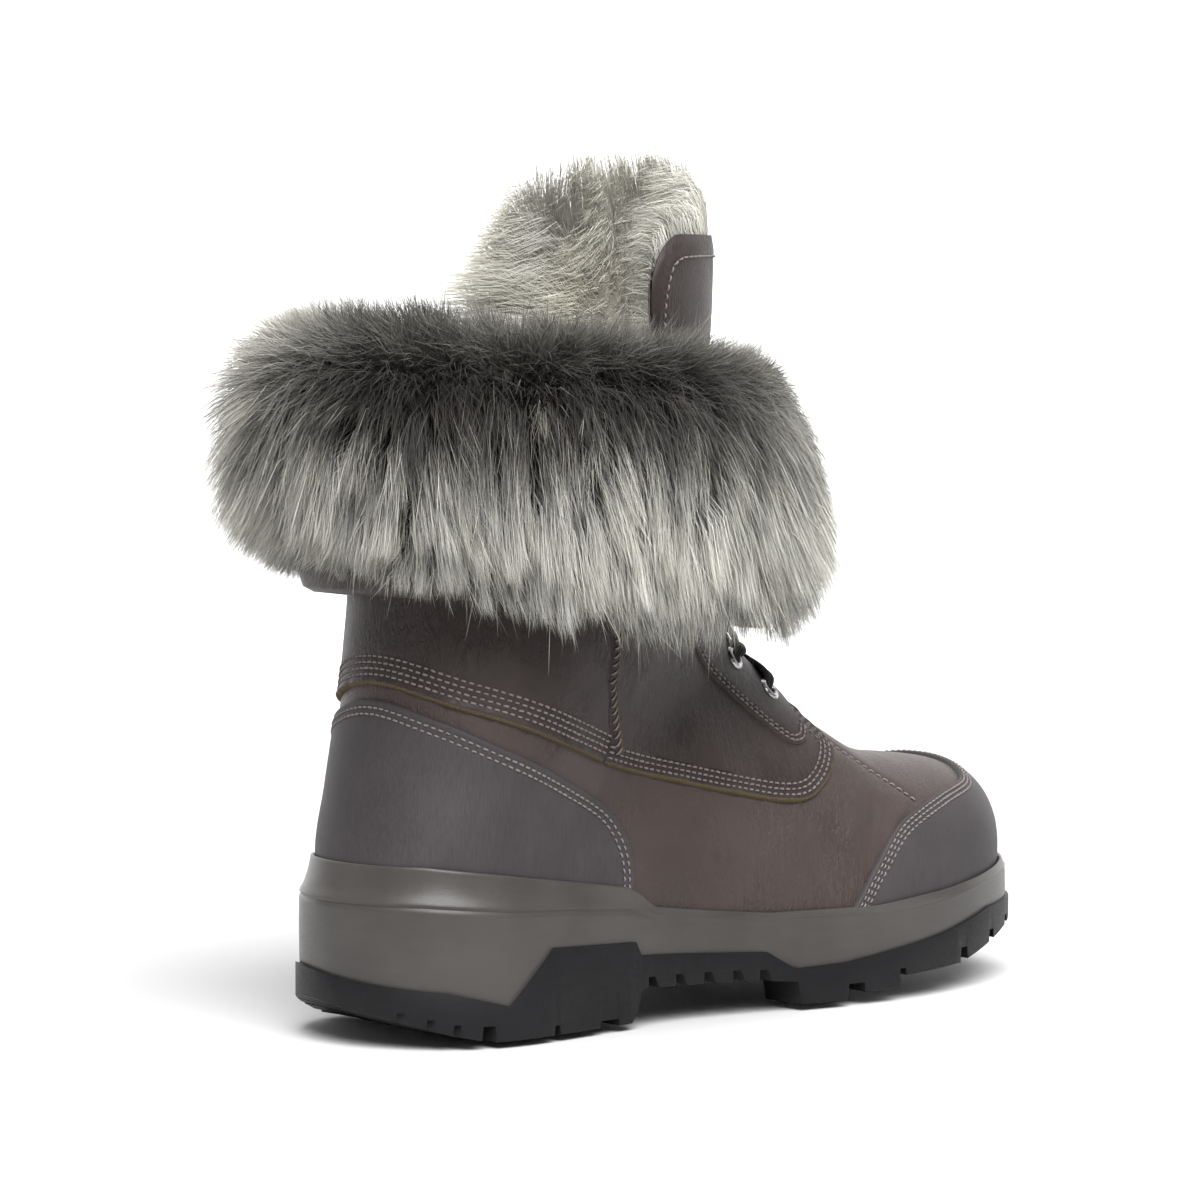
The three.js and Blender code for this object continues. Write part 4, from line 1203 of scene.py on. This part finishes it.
def make_cuff_fur(name, first, last, strands):
    """Hair between two angles: every strand leans towards the middle of its lock."""
    angle = rng.uniform(first, last, strands)
    share = rng.uniform(0, 1, strands)
    # each lock has its own place, reach, sway, tone and lean
    column = np.floor(angle / LOCK_ANGLE)
    level = np.floor(share / LOCK_SHARE + 0.5 * (column % 2))
    lock = locks(11, column * 57 + level * 131, (4093, 6))
    middle_angle = (column + 0.5) * LOCK_ANGLE + lock[:, 0] * 0.6
    middle_share = (level - 0.5 * (column % 2) + 0.5) * LOCK_SHARE
    gather = np.clip(0.6 + 0.2 * lock[:, 5], 0, 0.92)
    root_out, root_z, bend_out, bend_z = cuff_hair_rows(angle, share)[:, :4].T
    gathered = np.clip(share + (middle_share - share) * gather * 0.5, 0, 1)
    far_out, far_z = cuff_hair_rows(angle, gathered)[:, 4:].T
    stray = rng.random(strands) < 0.14
    ruffle = np.sin(np.radians(angle * 7.3) + share * 5) * np.sin(np.radians(angle * 2.9) + 1.3)
    reach = 1 + lock[:, 2] * 0.06 + ruffle * 0.05 + jitter(0.07, strands)
    depth = 1.02 - 0.34 * rng.random(strands) ** 1.6
    loose = 1 + 2.2 * fade(share, 0.42, 0.3)
    sway = lock[:, 3] + jitter(1.0, strands) * loose
    sweep = 2.2 * np.sin(np.radians(angle * 3.1) + share * 4)
    sweep += 1.3 * np.sin(np.radians(angle * 11) + share * 3)
    tip_angle = angle * (1 - gather) + middle_angle * gather + sway + sweep
    # beside the front opening the tips lean away from it
    edge_gap = np.minimum(angle - CUFF_OPENING, 360 - CUFF_OPENING - angle)
    tip_angle += np.sign(angle - 180) * 5 * fade(edge_gap, 7, 0)
    root, facing = shaft_point(angle, root_out, root_z)
    bend_angle = angle + (tip_angle - angle) * 0.3 + lock[:, 0] * 1.1
    bend, _ = shaft_point(bend_angle, root_out + (bend_out - root_out) * depth, bend_z)
    tip_out = root_out + (far_out - root_out) * depth * reach
    tip, _ = shaft_point(tip_angle, tip_out, bend_z + (far_z - bend_z) * reach)
    tip += lock[:, [4, 5, 1]] * [1.1, 1.1, 1.54] + jitter(4.0, strands, 3) * stray[:, None]
    paths = bezier(root, bend, tip)
    paths += jitter(0.45, strands, HAIR_STEPS, 3) * STEP[:, None] * loose[:, None, None]
    wave = lock[:, 0] * 0.8 + jitter(0.45, strands)
    paths += wave[:, None, None] * HAIR_WAVE * np.cross(facing, UP)[:, None]
    y = paths[..., 1]
    y -= np.sign(y) * 0.4 * np.maximum(np.abs(y) - SOFT_SIDE, 0)
    paths[..., 0] += 0.45 * np.maximum(SOFT_BACK - paths[..., 0], 0)
    strand = np.clip(1.0 + lock[:, 4] * 0.17 + jitter(0.16, strands), 0.25, 1.35)
    strand *= np.where(rng.random(strands) < 0.13, 0.45, 1)
    strand *= np.where((share > 0.93) & (rng.random(strands) < 0.5), 0.45, 1)
    tone = cuff_tone(paths, angle, lock[:, 1] * 6 + jitter(7, strands), strand)
    width = rng.uniform(0.19, 0.37, strands)
    warmth = np.clip(rng.beta(2, 2, strands) * 0.8 + 0.1 + lock[:, 1] * 0.08, 0, 1)
    hair(name, paths, facing + UP * 0.3, width, tone, warmth, "sheepskin")


def make_cuff():
    angle, share = np.linspace(CUFF_OPENING, 360 - CUFF_OPENING, 130), np.linspace(0, 1, 32)
    a, s = np.moveaxis(grid(angle, share), -1, 0)
    hairs = cuff_hair_rows(a, s)
    root, mid, full = (shaft_point(a, hairs[..., k], hairs[..., k + 1])[0] for k in (0, 2, 4))
    swell = 0.33 + 0.05 * np.sin(a * 0.9) * np.sin(s * 25)
    swell *= fade(np.minimum(a, 360 - a), CUFF_OPENING, CUFF_OPENING + 6)
    coat = root + ((mid + full) / 2 - root) * swell[..., None]
    sheet("cuff_undercoat", coat, MAT["undercoat"], "sheepskin", CUFF_MIDDLE)
    # the hide under the hair, narrowed a little: the hem's lip, then up to the collar's edge
    angle = angle + 3.0 * np.cos(np.linspace(0, np.pi, len(angle)))
    hem = cuff_hair_rows(angle, np.ones(len(angle)))[:, 1]
    hide = [
        shaft_point(angle, out, hem + above)[0]
        for out, above in ((17, 3), (17.6, -6.0), (16.3, -10.2), (13, -12.0), (10.2, -9.6))
    ]
    for down in share[::-1]:
        out = np.interp(down, [0, 0.2, 1], [-5.5, 3.0, 9.5])
        hide.append(shaft_point(angle, out, cuff_hair_rows(angle, np.full(len(angle), down))[:, 1] - 2.0)[0])
    obj = sheet("cuff_hide", np.array(hide), MAT["leather"], "leather", CUFF_MIDDLE)
    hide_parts("cuff")
    make_cuff_fur("cuff_fur_lateral", CUFF_OPENING, 128, 30000)
    make_cuff_fur("cuff_fur_back", 128, 232, 30000)
    make_cuff_fur("cuff_fur_medial", 232, 360 - CUFF_OPENING, 30000)


def make_tongue_fur(strands=32000):
    """Matted curls inside the tongue and over its top edge."""
    up = 1 - 0.34 * rng.random(strands) ** 1.35
    across = rng.uniform(-1, 0.97, strands)
    place = tongue_place(up, across)
    root = offset(place, tongue_height(place) - TONGUE_WALL)
    inward = -last_normal(place)
    column = np.floor(across / 0.11)
    level = np.floor(up / 0.045 + 0.5 * (column % 2))
    lock = locks(5, column * 37 + level * 101, (2039, 6))
    lift = fade(up, 0.8, 1)
    top = np.interp(across, [-1, -0.75, -0.45, -0.1, 0.2, 0.5, 1], [12, 29, 33, 32, 26, 15, 6])
    swirl = unit(lock[:, :3] * [0.8, 0.8, 0.32] + jitter(0.42, strands, 3) * [1, 1, 0.5])
    heading = inward * (13 + 3 * jitter(1, strands) - 2 * lift)[:, None]
    # at the medial end the fur spills over the edge, backwards
    heading[:, 0] -= fade(across, -0.4, -0.85) * (12 + 44 * fade(up, 1, 0.91))
    heading[:, 2] += 2 + top * lift
    heading *= (1 - 0.3 * rng.random(strands) + 0.05 * lock[:, 3])[:, None]
    curl = np.cross(unit(heading), swirl)
    bend = root + heading * [0.25, 0.25, 1.1] + jitter(0.9, strands, 3)
    tip = root + heading * [1, 1, 0.82] + swirl * 3.0 + curl * 4.2 + jitter(1.2, strands, 3)
    tip[:, 2] = np.minimum(tip[:, 2], 272 + jitter(1.4, strands))
    spring = np.sin(5 * STEP + (lock[:, 4] * 3 + jitter(0.6, strands))[:, None])[..., None]
    paths = bezier(root, bend, tip) + spring * curl[:, None] * 1.5 * STEP[:, None]
    strand = np.clip(0.95 + lock[:, 4] * 0.06 + jitter(0.1, strands), 0.3, 1.2)
    patch = 0.2 * np.sin(across * 9 + 1.0) * np.sin(up * 40 + across * 3) + 0.05 * lock[:, 5]
    patch -= 0.3 * fade(across, 0.5, 0.9)
    tone = (0.6 + (0.46 + patch[:, None]) * STEP**0.5) * strand[:, None]
    warmth = np.clip(rng.beta(2, 2, strands) + lock[:, 5] * 0.1, 0, 1)
    hair("tongue_fur", paths, inward + UP * 0.4, rng.uniform(0.16, 0.3, strands), tone, warmth, "fleece")


def make_lining_fur(strands=7000):
    along = rng.uniform(15, RIM_ALONG + 0.2, strands)
    angle = rng.uniform(-180, 180, strands)
    place = np.stack([along, angle], -1)
    root = offset(place, LINING - 0.2)
    inward = -last_normal(place)
    lock = locks(3, np.floor(along / 0.4) * 57 + np.floor(angle / 9) * 131, (2039, 3))
    length = rng.normal(9, 1.2, strands)[:, None]
    straight = unit(inward + 0.5 * unit(lock) + UP * 0.25) * length
    tip = root + straight + lock * 1.2 + jitter(0.8, strands, 3)
    paths = bezier(root, root + straight * 0.6, tip)
    tone = 0.35 + np.clip(rng.normal(0.5, 0.1, strands), 0.2, 0.65)[:, None] * STEP**0.6
    hair("lining_fur", paths, inward, rng.uniform(0.3, 0.5, strands), tone, rng.beta(2, 2, strands), "fleece")


# ---------------------------------------------------------------- eyelets and lace

EYELET_ROWS = [9.94, 11.2, 12.7, 14.3, 16]  # where the eyelets lie along the last
EYELET_ANGLE = 26  # degrees from the middle of the throat
# Radius and height of an eyelet's ring, from the hole to the rim.
EYELET_PROFILE = np.array([
    (2.1, -2.2), (2.1, 0.2), (2.35, 0.65), (3.0, 0.85), (3.4, 0.7), (4.05, 0.3), (4.2, -0.1),
])
LACE_WIDTH, LACE_THICK = 4.2, 2.2
LACE_SIDES, LACE_STEPS = 14, 36


def make_eyelets():
    faces = lattice_faces(len(EYELET_PROFILE), 28, closed=True)
    radius, height = EYELET_PROFILE.T[..., None]
    for i, along in enumerate(EYELET_ROWS):
        for name, medial in SIDES:
            place = side([along, 180 - EYELET_ANGLE], medial)
            n = last_normal(place)
            a = unit(np.cross(n, UP))
            b = np.cross(n, a)
            points = rings(offset(place, EYESTAY) + n * height, a * radius, b * radius, circle(28))
            obj = piece(f"eyelet_ring_{name}_{i + 1}", points, faces, MAT["metal"], "eyelet")
            mend(obj.data)
            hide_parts(f"eyelet_{name}_{i + 1}")


def make_lace():
    # the first and last eyelet of each stretch as (row, side), and how far it lies over what it crosses
    stretches = [((0, 1), (0, -1), 0.0)]
    for i in range(len(EYELET_ROWS) - 1):
        stretches += [((i, 1), (i + 1, -1), 1.4), ((i, -1), (i + 1, 1), -0.6)]
    t = np.linspace(0, 1, LACE_STEPS)
    end = np.minimum(t, 1 - t)
    width = LACE_WIDTH * np.interp(end, [0, 0.08, 0.16], [0.7, 0.8, 1.0])
    points = []
    for (row_a, side_a), (row_b, side_b), over in stretches:
        along = EYELET_ROWS[row_a] + (EYELET_ROWS[row_b] - EYELET_ROWS[row_a]) * t
        place = np.stack([along, 180 - EYELET_ANGLE * (side_a + (side_b - side_a) * t)], -1)
        rise = np.interp(end, [0, 0.035, 0.09, 0.16, 0.3, 0.5], [-3.0, 0.2, 1.7, 1.6, 0.1, over - 1.5])
        rise = np.convolve(np.pad(rise, 2, "edge"), [0.1, 0.2, 0.4, 0.2, 0.1], "valid")
        path = offset(place, EYESTAY + rise)
        tangent = unit(np.gradient(path, axis=0))
        b = unit(np.cross(last_normal(place), tangent))
        n = np.cross(tangent, b)
        points.append(rings(path, b * width[:, None] / 2, n * LACE_THICK / 2, circle(LACE_SIDES)))
    each = np.arange(len(stretches))[:, None, None] * LACE_STEPS * LACE_SIDES
    faces = (lattice_faces(LACE_STEPS, LACE_SIDES, closed=True) + each).reshape(-1, 4)
    obj = piece("lace_cord", np.concatenate(points), faces, MAT["lace"], "lace")
    mend(obj.data)
    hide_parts("lace")


# ---------------------------------------------------------------- studio


CAMERA_AZIMUTH, CAMERA_ELEVATION, CAMERA_DISTANCE = 227.45, 3.53, 1.5
CAMERA_TARGET = (113.35, 0, 129.8)
CAMERA_LENS = 139.95
# Soft suns: name, azimuth, elevation and spread in degrees, strength.
SUNS = (("key", 240, 54, 50, 5.6), ("back", 50, 45, 50, 1.0))
WORLD_LIGHT = 0.28
# Side view of the floor and backdrop in metres: distance behind the boot and height.
FLOOR = [(-1.6, 0), (0.9, 0), (1.3, 0.03), (1.6, 0.12), (1.85, 0.32), (2.0, 0.6), (2.05, 1.0), (2.05, 2.6)]
FLOOR_HALF, FLOOR_DEPTH, BACKDROP_FROM = 3, 0.0002, 1.1


def direction(azimuth, elevation):
    """The way from the boot to a place seen at an azimuth and elevation, 0 being the front."""
    a, e = math.radians(azimuth), math.radians(elevation)
    return Vector((math.sin(a) * math.cos(e), -math.cos(a) * math.cos(e), math.sin(e)))


def place_in_scene(name, data, towards, position=(0, 0, 0)):
    obj = bpy.data.objects.new(name, data)
    obj.location = position
    obj.rotation_euler = towards.to_track_quat("-Z", "Y").to_euler()
    bpy.context.scene.collection.objects.link(obj)
    return obj


def make_floor():
    """A floor with a backdrop that stands behind the boot as the camera sees it."""
    mesh = bpy.data.meshes.new("floor")
    for name, low, high in (("studio_floor", 0.62, 0.66), ("studio_backdrop", 0.86, 0.9)):
        f = Finish(name)
        f.set(Base_Color=f.ramp(f.noise(3), (0.3, low), (0.7, high)), Roughness=0.85, Specular_IOR_Level=0.1)
        mesh.materials.append(f.material)
    profile = curve(FLOOR, 60)
    away = -direction(CAMERA_AZIMUTH, 0)
    across = Vector((-away.y, away.x, 0))
    corners = [(d, w, z - FLOOR_DEPTH) for d, z in profile for w in (FLOOR_HALF, -FLOOR_HALF)]
    points = [away * d + across * w + Vector((0, 0, z)) for d, w, z in corners]
    mesh.from_pydata(points, [], [[2 * i, 2 * i + 1, 2 * i + 3, 2 * i + 2] for i in range(len(profile) - 1)])
    for i, face in enumerate(mesh.polygons):
        face.use_smooth = True
        face.material_index = int(profile[i, 0] > BACKDROP_FROM)
    floor = bpy.data.objects.new("floor", mesh)
    bpy.context.scene.collection.objects.link(floor)


def make_lights():
    """Dim white light from all round, which the camera sees as plain white, and two suns."""
    world = bpy.data.worlds.new("studio")
    world.use_nodes = True
    nodes, link = world.node_tree.nodes, world.node_tree.links.new
    light, seen = nodes["Background"], nodes.new("ShaderNodeBackground")
    choice = nodes.new("ShaderNodeMixShader")
    light.inputs["Color"].default_value = seen.inputs["Color"].default_value = (1, 1, 1, 1)
    light.inputs["Strength"].default_value = WORLD_LIGHT
    link(nodes.new("ShaderNodeLightPath").outputs["Is Camera Ray"], choice.inputs["Fac"])
    link(light.outputs[0], choice.inputs[1])
    link(seen.outputs[0], choice.inputs[2])
    link(choice.outputs[0], nodes["World Output"].inputs["Surface"])
    bpy.context.scene.world = world
    for name, azimuth, elevation, spread, power in SUNS:
        sun = bpy.data.lights.new(name, "SUN")
        sun.energy, sun.angle = power, math.radians(spread)
        place_in_scene(name, sun, -direction(azimuth, elevation))


def make_camera():
    camera = bpy.data.cameras.new("camera")
    camera.sensor_width, camera.lens, camera.clip_start = 36, CAMERA_LENS, 0.05
    towards = -direction(CAMERA_AZIMUTH, CAMERA_ELEVATION)
    position = Vector(row(CAMERA_TARGET)) - CAMERA_DISTANCE * towards
    bpy.context.scene.camera = place_in_scene("camera", camera, towards, position)


make_vamp()
make_counter()
make_toe_cap()
make_quarters()
make_side_seams()
make_eyestays()
make_midsole()
make_outsole()
make_lining()
make_tongue()
make_tongue_fleece()
make_eyelets()
make_lace()
make_stitching()
make_cuff()
make_tongue_fur()
make_lining_fur()
make_floor()
make_lights()
make_camera()
bpy.context.scene.view_settings.view_transform = "Standard"
